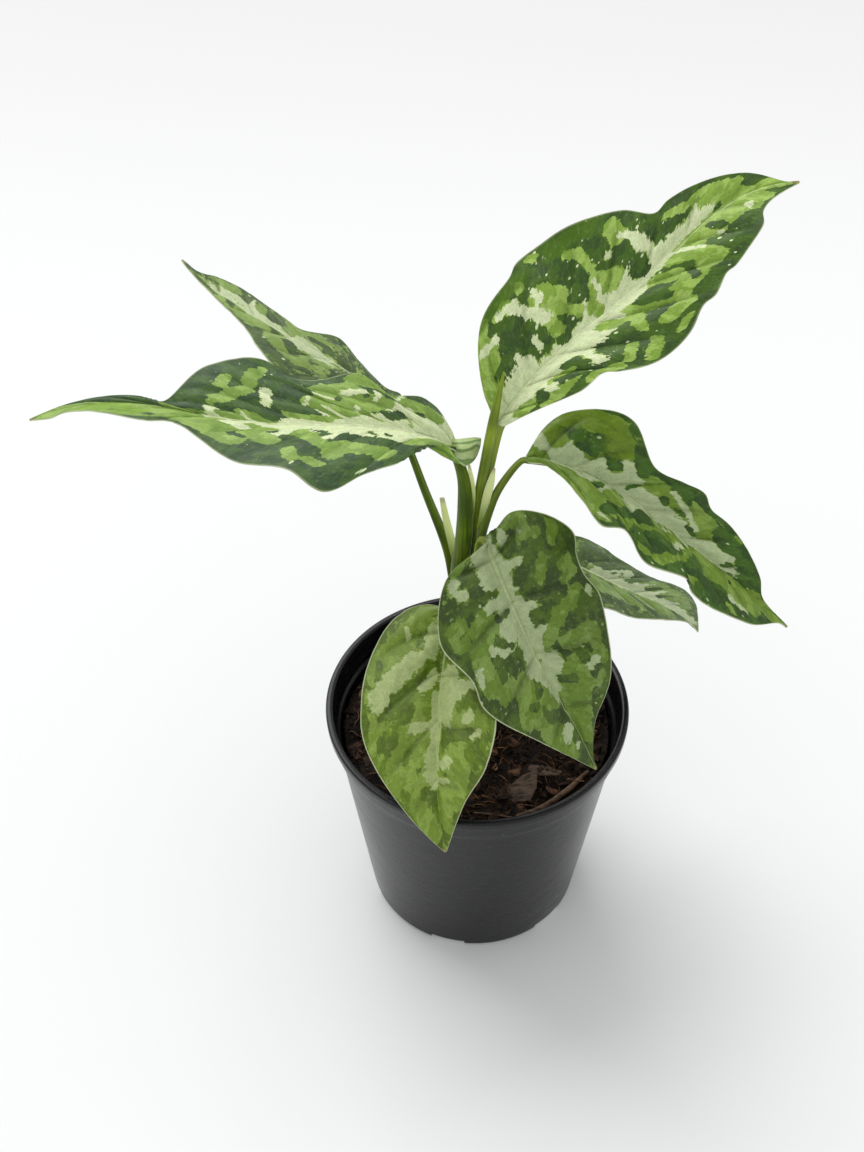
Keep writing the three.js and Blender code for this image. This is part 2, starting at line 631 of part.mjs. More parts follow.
/** Rings of the stalk: a foot that clasps the stem, turning into a round stalk. */
function stalkRings(leaf, stations) {
  const start = stations[0];
  const top = point(...leaf.base).addScaledVector(start.normal, BLADE_THICKNESS / 2 - leaf.depth.at(-1));
  const [footZ, compass] = leaf.clasp;
  const facing = radians(compass);
  const outward = point(Math.cos(facing), Math.sin(facing), 0);
  const inside = (z) => stemRadius(z) + GAP + 0.1;
  const centreAt = (z) => stemAxis(z).addScaledVector(outward, inside(z) + leaf.depth[0]);
  const curve = new THREE.CatmullRomCurve3([
    centreAt(footZ),
    centreAt(footZ + 8),
    ...leaf.route.map((p) => point(...p)),
    top.clone().addScaledVector(start.along, -3),
    top,
  ]);
  const frames = [];
  let side = start.side.clone();
  for (let i = STALK_STEPS; i >= 0; i--) {
    const along = i === STALK_STEPS ? start.along : curve.getTangentAt(i / STALK_STEPS);
    side = side.clone().addScaledVector(along, -side.dot(along)).normalize();
    frames[i] = { along, side, up: side.clone().cross(along) };
  }
  // The foot's upper side faces the stem; the turn left over is spread along the stalk.
  const foot = frames[0];
  const wanted = foot.along.clone().cross(outward.clone().negate());
  const spare = Math.atan2(wanted.dot(foot.up), wanted.dot(foot.side));
  return frames.map(({ side: plain, up: raised }, i) => {
    const t = i / STALK_STEPS;
    const centre = curve.getPointAt(t);
    const turn = spare * (1 - smooth(t, 0, 0.9));
    const across = plain.clone().multiplyScalar(Math.cos(turn)).addScaledVector(raised, Math.sin(turn));
    const up = raised.clone().multiplyScalar(Math.cos(turn)).addScaledVector(plain, -Math.sin(turn));
    const breadth = through(leaf.breadth, t);
    const depth = through(leaf.depth, t);
    const hug = 1 - smooth(centre.z, footZ + 3, footZ + CLASP_HEIGHT);
    const axis = stemAxis(centre.z);
    const spot = (j, face) => {
      const angle = (Math.PI / 2) * (1 - j / (REACH + 0.5));
      const round = centre.clone()
        .addScaledVector(across, breadth * Math.cos(angle))
        .addScaledVector(up, face * depth * Math.sin(angle));
      const swing = facing - (j / REACH) * CLASP_SPAN;
      const wall = face > 0 ? 0 : 0.7 + (2 * depth - 0.7) * (1 - (j / REACH) ** 2);
      const reach = inside(centre.z) + wall;
      const clasped = axis.clone().add(point(reach * Math.cos(swing), reach * Math.sin(swing), 0));
      return round.lerp(clasped, hug);
    };
    const places = columns.map((_, k) => k - REACH);
    return [...places.map((j) => spot(j, 1)), ...places.toReversed().map((j) => spot(j, -1))];
  });
}

for (const [name, leaf] of Object.entries(LEAVES)) {
  const stations = midrib(leaf);
  const ribDepth = 2 * leaf.depth.at(-1) - BLADE_THICKNESS;
  addPiece(name, loft([...stalkRings(leaf, stations), ...bladeRings(leaf, stations, ribDepth)]), BLADE_GREEN);
}

// ---- the rolled new leaf and the pale sheath tips -----------------------------------------

const NEW_LEAF = {
  route: [
    [-2.7, 15.6, 165], [-2.3, 15.6, 184], [-1, 14.8, 203],
    [1.2, 13.6, 222], [3.9, 13, 244], [6.5, 13, 261],
  ],
  radii: [1.5, 1.6, 1.7, 1.8, 1.6, 0.35],
};
const newLeafCurve = new THREE.CatmullRomCurve3(NEW_LEAF.route.map((p) => point(...p)));
addPiece('new_leaf', tube(newLeafCurve, NEW_LEAF.radii, 10, 18), YOUNG_GREEN);

// Thin pale wings of the sheaths stand free beside three stalks.
const WINGS = [
  { name: 'sheath_wing_left', facing: 60, breadth: [0.9, 1.5, 1.3, 0.5],
    route: [[-8.8, 16.2, 163], [-10.2, 18, 175], [-12.6, 20.8, 186], [-14.6, 23.5, 194]] },
  { name: 'sheath_wing_right', facing: 90, breadth: [0.6, 1.4, 1.4, 0.5],
    route: [[-2, 8.5, 190], [-2, 9.8, 197], [0, 10.8, 207], [3.8, 11.8, 218]] },
  { name: 'sheath_wing_crown', facing: 90, breadth: [0.5, 0.8, 0.8, 0.4],
    route: [[-3.4, 11.2, 190], [-3.2, 12, 200], [-3.4, 13, 209], [-4.6, 14, 217]] },
];
const WING_THICKNESS = 0.7;
const WING_STEPS = 8;

function wing(spec) {
  const curve = new THREE.CatmullRomCurve3(spec.route.map((p) => point(...p)));
  const facing = radians(spec.facing);
  const outward = point(Math.cos(facing), Math.sin(facing), 0);
  const rings = [];
  for (let i = 0; i <= WING_STEPS; i++) {
    const t = i / WING_STEPS;
    const centre = curve.getPoint(t);
    const across = curve.getTangent(t).cross(outward).normalize();
    const breadth = through(spec.breadth, t);
    const row = (face) => [-1, 0, 1].map((j) => centre.clone()
      .addScaledVector(across, j * breadth)
      .addScaledVector(outward, (face * WING_THICKNESS) / 2 + 0.35 * breadth * (1 - j * j)));
    rings.push([...row(1), ...row(-1).reverse()]);
  }
  return loft(rings);
}

for (const spec of WINGS) addPiece(spec.name, wing(spec), SHEATH_PALE);

export default plant;
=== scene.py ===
# %% [markdown]
# # A potted chinese evergreen
#
# This lesson dresses a small house plant: seven camouflage-patterned leaves on one short stem, in
# a black nursery pot. The frame that is loaded first holds every piece at its real size and place,
# in metres, with +Z up and the middle of the pot's foot at the origin. We only make it look real:
# finer meshes that keep the frame's forms, and node materials. Sizes below are in millimetres and
# are turned into metres in one place, where a mesh is made.

# %% Load the frame
import math
from functools import partialmethod

import bmesh
import bpy
import numpy as np
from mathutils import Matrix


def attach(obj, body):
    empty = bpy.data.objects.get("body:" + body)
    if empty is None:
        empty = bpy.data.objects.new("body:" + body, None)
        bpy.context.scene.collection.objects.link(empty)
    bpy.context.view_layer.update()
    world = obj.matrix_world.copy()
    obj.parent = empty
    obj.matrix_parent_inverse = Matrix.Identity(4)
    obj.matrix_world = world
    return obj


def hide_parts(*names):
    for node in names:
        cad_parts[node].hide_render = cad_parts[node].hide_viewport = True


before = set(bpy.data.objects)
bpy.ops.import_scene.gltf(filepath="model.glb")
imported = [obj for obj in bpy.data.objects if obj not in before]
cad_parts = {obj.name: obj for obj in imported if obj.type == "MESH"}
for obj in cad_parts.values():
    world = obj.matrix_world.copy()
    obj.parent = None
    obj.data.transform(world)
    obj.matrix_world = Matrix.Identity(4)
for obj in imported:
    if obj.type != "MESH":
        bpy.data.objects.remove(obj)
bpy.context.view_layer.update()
MM = 0.001

# %% [markdown]
# ## The camera
#
# The picture was taken from the front, looking 45 degrees down from about 0.8 m. The ellipses of
# the pot's rim and foot fix that view, so the camera is simply placed there. It has a longish lens
# and no depth of field: everything on the plant stays sharp.

# %% Camera
CAMERA_PLACE = (-0.0179, -0.465, 0.646)
CAMERA_TILT = 44.7               # degrees up from looking straight down
CAMERA_LENS = 56.25              # millimetres


def show(name, data):
    """A new object, linked to the scene."""
    shown = bpy.data.objects.new(name, data)
    bpy.context.scene.collection.objects.link(shown)
    return shown


camera_data = bpy.data.cameras.new("photo_camera")
camera_data.lens = CAMERA_LENS
camera = show("photo_camera", camera_data)
camera.location = CAMERA_PLACE
camera.rotation_euler = (math.radians(CAMERA_TILT), 0, 0)
bpy.context.scene.camera = camera
print("camera at", CAMERA_PLACE, "lens", CAMERA_LENS)

# %% [markdown]
# ## Placing nodes
#
# Every material and every Geometry Nodes tree below is built in code. Two helpers keep that
# readable: `add` places one node and fills its inputs, and `Number` lets us write sums with
# ordinary signs, each of which places one Math node. We could wire each node by hand, but then a
# short formula would fill a page.

# %% Placing nodes
def feed(tree, socket, value):
    """Links a socket or a Number to an input, or stores a plain value on it."""
    if isinstance(value, Number):
        value = value.socket
    if isinstance(value, bpy.types.NodeSocket):
        tree.links.new(value, socket)
    else:
        socket.default_value = value


def add(tree, kind, inputs=None, **settings):
    """Adds one node with its settings and inputs."""
    node = tree.nodes.new(kind)
    for key, value in settings.items():
        setattr(node, key, value)
    for key, value in (inputs or {}).items():
        feed(tree, node.inputs[key], value)
    return node


class Number:
    """A value socket that ordinary signs work on."""

    def __init__(self, tree, socket):
        self.tree = tree
        self.socket = socket

    def math(self, operation, *others):
        node = add(self.tree, "ShaderNodeMath", operation=operation)
        for place, value in enumerate((self, *others)):
            feed(self.tree, node.inputs[place], value)
        return Number(self.tree, node.outputs[0])

    __add__ = partialmethod(math, "ADD")
    __sub__ = partialmethod(math, "SUBTRACT")
    __mul__ = partialmethod(math, "MULTIPLY")
    __truediv__ = partialmethod(math, "DIVIDE")
    __pow__ = partialmethod(math, "POWER")
    __abs__ = partialmethod(math, "ABSOLUTE")
    __neg__ = partialmethod(math, "MULTIPLY", -1.0)
    sine = partialmethod(math, "SINE")

    def ramp(self, low, high):
        """0 up to low, 1 from high, smooth between."""
        inputs = {0: self, 1: low, 2: high}
        node = add(self.tree, "ShaderNodeMapRange", inputs, interpolation_type="SMOOTHSTEP")
        return Number(self.tree, node.outputs[0])


print("node helpers ready")

# %% [markdown]
# A few more words of the same kind: split and join vectors, read noise, mix colours, and turn a
# height into a bent normal with a Bump node. `material` starts a finish with the values that are
# the same all over it, and `dress` ends it with those that change over the surface.

# %% Vectors, noise and colours
def split(tree, vector):
    """The x, y and z of a vector as Numbers."""
    node = add(tree, "ShaderNodeSeparateXYZ", {0: vector})
    return [Number(tree, socket) for socket in node.outputs]


def join(tree, x, y, z=0.0):
    return add(tree, "ShaderNodeCombineXYZ", {0: x, 1: y, 2: z}).outputs[0]


def scaled(tree, vector, factor):
    """A vector or colour times one number."""
    return add(tree, "ShaderNodeVectorMath", {0: vector, 3: factor}, operation="SCALE").outputs[0]


def noise(tree, vector, scale, detail=2.0, roughness=0.5):
    """Smooth noise from 0 to 1, mostly near 0.5."""
    inputs = {"Vector": vector, "Scale": scale, "Detail": detail, "Roughness": roughness}
    return Number(tree, add(tree, "ShaderNodeTexNoise", inputs).outputs[0])


def blend(tree, share, below, above):
    """Mixes two colours, each a socket or red, green and blue; share is a Number from 0 to 1."""
    below, above = (rgb(*colour) if isinstance(colour, tuple) else colour for colour in (below, above))
    node = add(tree, "ShaderNodeMix", {0: share, 6: below, 7: above}, data_type="RGBA")
    return node.outputs[2]


def bump(tree, height, distance, strength=1.0):
    inputs = {"Height": height, "Distance": distance, "Strength": strength}
    return add(tree, "ShaderNodeBump", inputs).outputs[0]


def material(name, constants=None):
    """A new material; returns it, its tree and its Principled shader."""
    made = bpy.data.materials.new(name)
    made.use_nodes = True
    shader = made.node_tree.nodes["Principled BSDF"]
    for key, value in (constants or {}).items():
        shader.inputs[key].default_value = value
    return made, made.node_tree, shader


def dress(tree, shader, colour, roughness=None, normal=None):
    """Feeds a finish's changing values to its shader."""
    for key, value in (("Base Color", colour), ("Roughness", roughness), ("Normal", normal)):
        if value is not None:
            feed(tree, shader.inputs[key], value)


def object_place(tree):
    """Where a point is on the object, in metres."""
    return add(tree, "ShaderNodeTexCoord").outputs["Object"]


def rgb(red, green, blue):
    return (red, green, blue, 1.0)


print("colour helpers ready")

# %% [markdown]
# ## Floor and light
#
# A plain white floor and soft studio light: one broad soft lamp high behind the left shoulder of the
# plant, which throws the pale shadow to the lower right, and an even white surround. The shadow
# stays soft because the lamp is nearly as large as its distance. Far behind the pot the floor is a
# little greyer, or the lamp would make it brighter there than near the camera.

# %% Floor and lights
FLOOR_RADIUS = 4.0
FLOOR_SIDES = 96
KEY_PLACE = (-3.0, 4.6, 7.6)
KEY_SIZE = 7.0
KEY_POWER = 590.0
SURROUND = 0.80


def floor_finish():
    paint, tree, shader = material("white_sweep", {"Roughness": 0.7, "Specular IOR Level": 0.2})
    place = object_place(tree)
    colour = blend(tree, noise(tree, place, 1.5), (0.77, 0.78, 0.785), (0.81, 0.81, 0.81))
    behind = split(tree, place)[1].ramp(0.2, 0.9)
    dress(tree, shader, blend(tree, behind, colour, (0.67, 0.67, 0.665)))
    return paint


floor_mesh = bpy.data.meshes.new("floor")
floor_turns = [2 * math.pi * k / FLOOR_SIDES for k in range(FLOOR_SIDES)]
floor_points = [(FLOOR_RADIUS * math.cos(a), FLOOR_RADIUS * math.sin(a), 0) for a in floor_turns]
floor_mesh.from_pydata(floor_points, [], [list(range(FLOOR_SIDES))])
floor_mesh.materials.append(floor_finish())
floor = show("floor", floor_mesh)

key_data = bpy.data.lights.new("key", "AREA")
key_data.size = KEY_SIZE
key_data.energy = KEY_POWER
key = show("key", key_data)
key.location = KEY_PLACE
key.rotation_euler = (-key.location).to_track_quat("-Z", "Y").to_euler()

world = bpy.data.worlds.new("studio")
world.use_nodes = True
world.node_tree.nodes["Background"].inputs["Color"].default_value = rgb(0.99, 0.995, 0.995)
world.node_tree.nodes["Background"].inputs["Strength"].default_value = SURROUND
bpy.context.scene.world = world
bpy.context.scene.view_settings.view_transform = "Standard"
print("key lamp", KEY_POWER, "W, surround", SURROUND)

# %% [markdown]
# ## Meshes and trees
#
# `new_piece` makes an object whose place is in its mesh. `run_tree` puts a Geometry Nodes tree on an
# object, and `keep_result` keeps what all its modifiers give as a plain mesh, so that nothing is
# left to evaluate later. `check_closed` counts open edges and turns a mesh inside out if its volume
# is negative. `settle` hands a finished piece to the frame.

# %% Mesh helpers
def new_piece(name, points, faces, paints, vectors=None):
    """An object from points in millimetres; vectors are named per-point attributes."""
    mesh = bpy.data.meshes.new(name)
    mesh.from_pydata(np.asarray(points, float) * MM, [], faces)
    for paint in paints:
        mesh.materials.append(paint)
    for key, values in (vectors or {}).items():
        layer = mesh.attributes.new(key, "FLOAT_VECTOR", "POINT")
        layer.data.foreach_set("vector", np.asarray(values, np.float32).ravel())
    return show(name, mesh)


def keep_result(piece):
    """Turns what the modifiers give into the object's own plain mesh."""
    graph = bpy.context.evaluated_depsgraph_get()
    mesh = bpy.data.meshes.new_from_object(
        piece.evaluated_get(graph), preserve_all_data_layers=True, depsgraph=graph
    )
    piece.modifiers.clear()
    old = piece.data
    piece.data = mesh
    bpy.data.meshes.remove(old)
    mesh.name = piece.name


def run_tree(piece, tree, values):
    """Adds a Geometry Nodes modifier with its inputs set by their identifiers."""
    modifier = piece.modifiers.new(tree.name, "NODES")
    modifier.node_group = tree
    for item in tree.interface.items_tree:
        if item.item_type == "SOCKET" and item.in_out == "INPUT" and item.name in values:
            modifier[item.identifier] = values[item.name]
    return modifier


def check_closed(piece):
    """Makes the faces point outwards and reports open edges."""
    shape = bmesh.new()
    shape.from_mesh(piece.data)
    if shape.calc_volume(signed=True) < 0:
        bmesh.ops.reverse_faces(shape, faces=shape.faces[:])
        shape.to_mesh(piece.data)
    open_edges = sum(1 for edge in shape.edges if not edge.is_manifold)
    triangles = sum(len(face.verts) - 2 for face in shape.faces)
    print(f"{piece.name}: {triangles} triangles, {open_edges} open edges")
    shape.free()


def smooth(piece, angle=180.0):
    """Smooth shading, kept sharp at edges steeper than the angle."""
    piece.data.polygons.foreach_set("use_smooth", [True] * len(piece.data.polygons))
    if angle < 180:
        piece.data.set_sharp_from_angle(angle=math.radians(angle))


def settle(piece, slot, *nodes):
    """The piece rides on the plant and stands for the frame's nodes; the slot is not used."""
    check_closed(piece)
    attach(piece, "root")
    if nodes:
        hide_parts(*nodes)


print("mesh helpers ready")

# %% [markdown]
# A Geometry Nodes tree needs named inputs and outputs before anything can be wired to them.
# `geometry_tree` makes both and hands back the inputs by name; `geometry_out` closes the tree with
# the two nodes every tree here ends in, Realize Instances and Set Material. `field` and `stored`
# read what is known at each point, and `push` moves the points. `shader_group` starts a group of
# shader nodes that several materials share.

# %% Tree frames
SOCKETS = {
    "geometry": "NodeSocketGeometry",
    "number": "NodeSocketFloat",
    "count": "NodeSocketInt",
    "vector": "NodeSocketVector",
    "material": "NodeSocketMaterial",
    "object": "NodeSocketObject",
}


def declare(tree, way, wanted):
    for name, kind in wanted.items():
        tree.interface.new_socket(name=name, in_out=way, socket_type=SOCKETS[kind])


def inputs_of(tree):
    """The group's inputs by name; numbers come as Numbers."""
    found = {}
    for socket in add(tree, "NodeGroupInput").outputs:
        if socket.name:
            number = socket.type in ("VALUE", "INT")
            found[socket.name] = Number(tree, socket) if number else socket
    return found


def geometry_tree(name, wanted):
    tree = bpy.data.node_groups.new(name, "GeometryNodeTree")
    declare(tree, "INPUT", {"Geometry": "geometry", **wanted, "Material": "material"})
    declare(tree, "OUTPUT", {"Geometry": "geometry"})
    return tree, inputs_of(tree)


def geometry_out(tree, geometry, paint):
    whole = add(tree, "GeometryNodeRealizeInstances", {"Geometry": geometry})
    painted = add(tree, "GeometryNodeSetMaterial", {"Geometry": whole.outputs[0], "Material": paint})
    add(tree, "NodeGroupOutput", {0: painted.outputs[0]})


def field(tree, kind):
    """The position or the normal at each point."""
    return add(tree, "GeometryNodeInput" + kind).outputs[0]


def stored(tree, name, kind="FLOAT"):
    """A named attribute at each point."""
    return add(tree, "GeometryNodeInputNamedAttribute", {"Name": name}, data_type=kind).outputs[0]


def seeded_place(tree, seed):
    """The position, moved aside so that each seed reads other noise."""
    inputs = {0: field(tree, "Position"), 1: join(tree, seed, 0.0)}
    return add(tree, "ShaderNodeVectorMath", inputs).outputs[0]


def push(tree, geometry, offset):
    """Moves every point by its offset."""
    return add(tree, "GeometryNodeSetPosition", {"Geometry": geometry, "Offset": offset}).outputs[0]


def shader_group(name, wanted, given):
    tree = bpy.data.node_groups.new(name, "ShaderNodeTree")
    declare(tree, "INPUT", wanted)
    declare(tree, "OUTPUT", given)
    return tree, inputs_of(tree)


def use_group(tree, group, values):
    """Places a shared group in a material; returns its outputs by name."""
    node = add(tree, "ShaderNodeGroup", node_tree=group)
    for key, value in values.items():
        feed(tree, node.inputs[key], value)
    return {socket.name: Number(tree, socket) for socket in node.outputs}


print("tree helpers ready")

# %% [markdown]
# ## Streaks: a shared effect
#
# Stalks have fine lengthwise lines, the pot has turning lines from its mould, and bark has grain.
# All three are the same thing: noise that is long one way and short the other. So it is one group,
# with a size for each direction, placed in each material with its own values.

# %% Streaks group
def streaks_group():
    wanted = {"Vector": "vector", "Long": "number", "Short": "number", "Seed": "number"}
    tree, given = shader_group("Streaks", wanted, {"Streaks": "number"})
    x, y, z = split(tree, given["Vector"])
    coarse_place = join(tree, x * given["Long"] + given["Seed"], y * given["Long"], z * given["Short"])
    fine_place = join(
        tree, x * given["Long"] * 2.7, y * given["Long"] * 2.7 + given["Seed"], z * given["Short"] * 3.1
    )
    mixed = noise(tree, coarse_place, 1.0, 3.0) * 0.6 + noise(tree, fine_place, 1.0, 2.0) * 0.4
    add(tree, "NodeGroupOutput", {"Streaks": mixed})
    return tree


STREAKS = streaks_group()


def streaks(tree, place, long, short, seed):
    """The shared streaks, with one material's own sizes."""
    values = {"Vector": place, "Long": long, "Short": short, "Seed": seed}
    return use_group(tree, STREAKS, values)["Streaks"]


print("group:", STREAKS.name)

# %% [markdown]
# ## Camouflage: a shared effect
#
# The leaves' pattern is made of patches of tissue that lost some or all of their green: dark
# green, yellow-green and silvery cream. The main patches are laid down one by one, as broad strokes
# that arrive here in `Patch`. Strokes alone would look like a drawing, so the group adds what grew
# at random: a few free patches (`Wild`), edges eaten by noise, edges of the cream frayed along the
# side veins, small pale flecks in the dark, and a second, lighter green that overlaps the first.
# All noise is read in the leaf's own millimetres, so no part of the pattern swims.

# %% Camouflage group
def camouflage_group():
    wanted = {"Flow": "vector", "Spot": "vector", "Patch": "vector", "Seed": "number",
              "Wild": "number", "Fray": "number", "Flecks": "number"}
    masks = dict.fromkeys(("Green", "Cream", "Lighter", "Fleck", "Glow"), "number")
    tree, given = shader_group("Camouflage", wanted, masks)
    along, out, _ = split(tree, given["Flow"])
    share, margin, _ = split(tree, given["Spot"])
    greenness, creaminess, glow = split(tree, given["Patch"])

    place = join(tree, along + given["Seed"] * 37.0, out + given["Seed"] * 19.0, given["Seed"])
    free = noise(tree, place, 0.11, 2.0) - 0.5
    free_cream = noise(tree, place, 0.16, 2.0) - 0.5
    nibble = noise(tree, place, 0.42, 3.5, 0.65) - 0.5
    fray_place = join(tree, along * 0.65, out * 0.13, given["Seed"] + 5.0)
    fray = noise(tree, fray_place, 1.0, 3.0, 0.7) - 0.5
    green = greenness + free * given["Wild"] + nibble * 2.6 + fray * given["Fray"]
    cream = creaminess + free_cream * given["Wild"] + nibble * 2.4 + fray * given["Fray"] * 4.0

    cells = add(tree, "ShaderNodeTexVoronoi", {"Vector": place, "Scale": 0.36})
    draw, size, _ = split(tree, cells.outputs["Color"])
    lucky = (draw + given["Flecks"]).ramp(1.0, 1.005)
    fleck = (Number(tree, cells.outputs["Distance"]) * -1.0 + size * 0.2 + 0.05).ramp(0.0, 0.03)
    lighter_place = join(tree, along * 0.2 + given["Seed"] * 11.0, out * 0.13, given["Seed"])
    lighter = noise(tree, lighter_place, 1.0, 2.0) + nibble * 0.12
    outlet = add(tree, "NodeGroupOutput")
    feed(tree, outlet.inputs["Green"], (green - margin.ramp(0.93, 1.0) * 0.5).ramp(-0.07, 0.07))
    feed(tree, outlet.inputs["Cream"], (cream - margin.ramp(0.9, 1.0) * 0.8).ramp(-0.07, 0.07))
    feed(tree, outlet.inputs["Lighter"], lighter.ramp(0.52, 0.535))
    feed(tree, outlet.inputs["Fleck"], fleck * lucky)
    feed(tree, outlet.inputs["Glow"], glow.ramp(0.0, 1.0))
    return tree


CAMOUFLAGE = camouflage_group()
print("group:", CAMOUFLAGE.name, "nodes:", len(CAMOUFLAGE.nodes))

# %% [markdown]
# ## Leaf finishes
#
# A leaf has three: the patterned upper side with a soft gloss, a duller and paler underside, and
# the thin pale edge. The upper one takes its three tones from the leaf's own values, is darkened
# by painted shade in a band along each sunk side vein and in a thin line on the vein itself, and
# marks the midrib with a pale line and a darker one on each side.

# %% Leaf finishes
def attribute(tree, name):
    return add(tree, "ShaderNodeAttribute", attribute_name=name).outputs["Vector"]


def camouflage_masks(tree, look):
    """The shared pattern, placed with one leaf's own values."""
    return use_group(tree, CAMOUFLAGE, {
        "Flow": attribute(tree, "flow"), "Spot": attribute(tree, "spot"), "Patch": attribute(tree, "patch"),
        "Seed": look["seed"], "Wild": look["wild"], "Fray": look["fray"], "Flecks": look["flecks"],
    })


LEAF_FLESH = {"Subsurface Weight": 0.08, "Subsurface Scale": 0.002, "Subsurface Radius": (0.5, 1.0, 0.2)}


def upper_finish(name, look):
    paint, tree, shader = material(name + "_upper", {"Specular IOR Level": 0.25, **LEAF_FLESH})
    flow = attribute(tree, "flow")
    masks = camouflage_masks(tree, look)
    warm = noise(tree, flow, 0.15, 4.0, 0.6).ramp(0.47, 0.53)
    dark = blend(tree, warm, look["dark"], look["dark_warm"])
    green = blend(tree, masks["Lighter"], look["green"], look["green_light"])
    colour = blend(tree, masks["Green"], dark, green)
    colour = blend(tree, masks["Cream"], colour, look["cream"])
    colour = blend(tree, masks["Fleck"] * (masks["Green"] * -0.8 + 1.0), colour, look["cream"])
    colour = blend(tree, masks["Glow"] * look["glow_share"], colour, look["glow"])

    along, out, _ = split(tree, flow)
    share, margin, crease = split(tree, attribute(tree, "spot"))
    taper = share * -0.7 + 1.0
    inner = (margin * -1.0 + 1.0).ramp(0.05, 0.4)
    rib = (abs(out) * -1.0 + taper * 0.75).ramp(0.0, 0.3)
    beside = (abs(abs(out) - taper * 1.1) * -1.0 + taper * 0.35).ramp(0.0, 0.3)
    colour = blend(tree, rib * look["rib_share"], colour, look["rib"])
    colour = blend(tree, beside * 0.35, colour, look["furrow"])
    # Painted shade: the colour darkens in a band along each sunk side vein, with a thin darker line on the
    # vein itself.
    painted_crease_shade = (crease * -1.0 + 0.13).ramp(0.0, 0.13) * inner * margin.ramp(0.02, 0.2)
    line = (crease * -1.0 + 0.02).ramp(0.0, 0.014) * inner
    colour = blend(tree, line * 0.4, colour, look["furrow"])
    colour = blend(tree, margin.ramp(0.982, 0.99) * look["edge_share"], colour, look["edge"])
    colour = blend(tree, share.ramp(0.975, 0.995), colour, (0.26, 0.24, 0.09))

    grain = noise(tree, flow, 1.5, 2.0, 0.8)
    cloud = noise(tree, flow, 0.35, 3.0, 0.6)
    veinlets = noise(tree, join(tree, along * 0.9, out * 0.4), 1.0, 3.0, 0.6)
    colour = blend(tree, veinlets.ramp(0.5, 0.8) * look["silver"], colour, look["rib"])
    tone = grain * 0.8 + cloud * 0.7 + veinlets * 0.2 + 0.15
    # The mottled tone is multiplied down by the painted shade along the side veins.
    mottled = scaled(tree, colour, tone * (painted_crease_shade * -look["painted_crease_shade"] + 1.0))
    normal = bump(tree, grain * 0.6 + veinlets * 0.4, 0.00016, 0.6)
    dress(tree, shader, mottled, cloud * 0.16 + 0.36, normal)
    return paint


def under_finish(name, look):
    paint, tree, shader = material(name + "_under", {"Specular IOR Level": 0.35, **LEAF_FLESH})
    flow = attribute(tree, "flow")
    masks = camouflage_masks(tree, look)
    colour = blend(tree, masks["Green"] * 0.6, look["under"], look["under_light"])
    colour = blend(tree, masks["Cream"] * 0.6, colour, (0.36, 0.45, 0.24))
    cloud = noise(tree, flow, 0.5, 3.0)
    normal = bump(tree, noise(tree, flow, 1.4, 2.0), 0.0001, 0.5)
    dress(tree, shader, scaled(tree, colour, cloud * 0.4 + 0.8), cloud * 0.15 + 0.5, normal)
    return paint


def edge_finish(name, look):
    paint, tree, shader = material(name + "_edge", {"Roughness": 0.5})
    cloud = noise(tree, attribute(tree, "flow"), 0.4)
    dress(tree, shader, blend(tree, cloud, look["edge"], look["rib"]))
    return paint


print("leaf finishes ready")

# %% [markdown]
# ## The leaf as a bent sheet
#
# A blade is described flat first: how far along the midrib and how far to the side. Then the
# midrib is bent through space by a list of compass headings and a list of climbs, each half is
# folded up from the midrib and curls down again, and the margin waves. This is the same rule that
# gave the frame its leaves; here it is walked in much finer steps, and the outlines follow the real
# margins more closely. Smooth curves through a few values do most of the work, so they come first.

# %% Smooth curves
def through(values, t):
    """A smooth curve through evenly spaced numbers or points, read at t from 0 to 1."""
    values = np.asarray(values, float)
    first = 2 * values[0] - values[1]
    final = 2 * values[-1] - values[-2]
    padded = np.concatenate([[first], values, [final]])
    at = np.clip(t, 0, 1) * (len(values) - 1)
    i = np.minimum(at.astype(int), len(values) - 2)
    f = (at - i).reshape(at.shape + (1,) * (values.ndim - 1))
    a, b, c, d = (padded[i + k] for k in range(4))
    return b + 0.5 * f * (c - a + f * (2 * a - 5 * b + 4 * c - d + f * (3 * (b - c) + d - a)))


def wire(points, count):
    """Count + 1 evenly spaced points on a curve that doesn't overshoot, as a bent wire lies."""
    points = np.asarray(points, float)
    padded = np.vstack([2 * points[0] - points[1], points, 2 * points[-1] - points[-2]])
    fine = []
    for i in range(len(points) - 1):
        p0, p1, p2, p3 = padded[i:i + 4]
        d0, d1, d2 = (max(np.linalg.norm(b - a) ** 0.5, 1e-4) for a, b in ((p0, p1), (p1, p2), (p2, p3)))
        leave = ((p1 - p0) / d0 - (p2 - p0) / (d0 + d1) + (p2 - p1) / d1) * d1
        arrive = ((p2 - p1) / d1 - (p3 - p1) / (d1 + d2) + (p3 - p2) / d2) * d1
        t = np.linspace(0, 1, 24, endpoint=i == len(points) - 2)[:, None]
        cubic = (2 * p1 - 2 * p2 + leave + arrive) * t ** 3
        square = (-3 * p1 + 3 * p2 - 2 * leave - arrive) * t ** 2
        fine.append(cubic + square + leave * t + p1)
    fine = np.vstack(fine)
    length = np.concatenate([[0], np.cumsum(np.linalg.norm(np.diff(fine, axis=0), axis=1))])
    wanted = np.linspace(0, length[-1], count + 1)
    return np.stack([np.interp(wanted, length, fine[:, k]) for k in range(fine.shape[1])], axis=1)


def unit(vectors):
    return vectors / np.linalg.norm(vectors, axis=-1, keepdims=True)


UP = np.array([0.0, 0.0, 1.0])
print("halfway through 0, 1, 4:", through([0, 1, 4], np.array([0.5])))

# %% [markdown]
# `midrib` walks along a leaf and keeps, at each step, the point, the direction of growth, the
# right-hand side and the upward normal. `grown` then says where a point of the flat leaf lands.

# %% Bending the sheet
MIDRIB_STEPS = 240


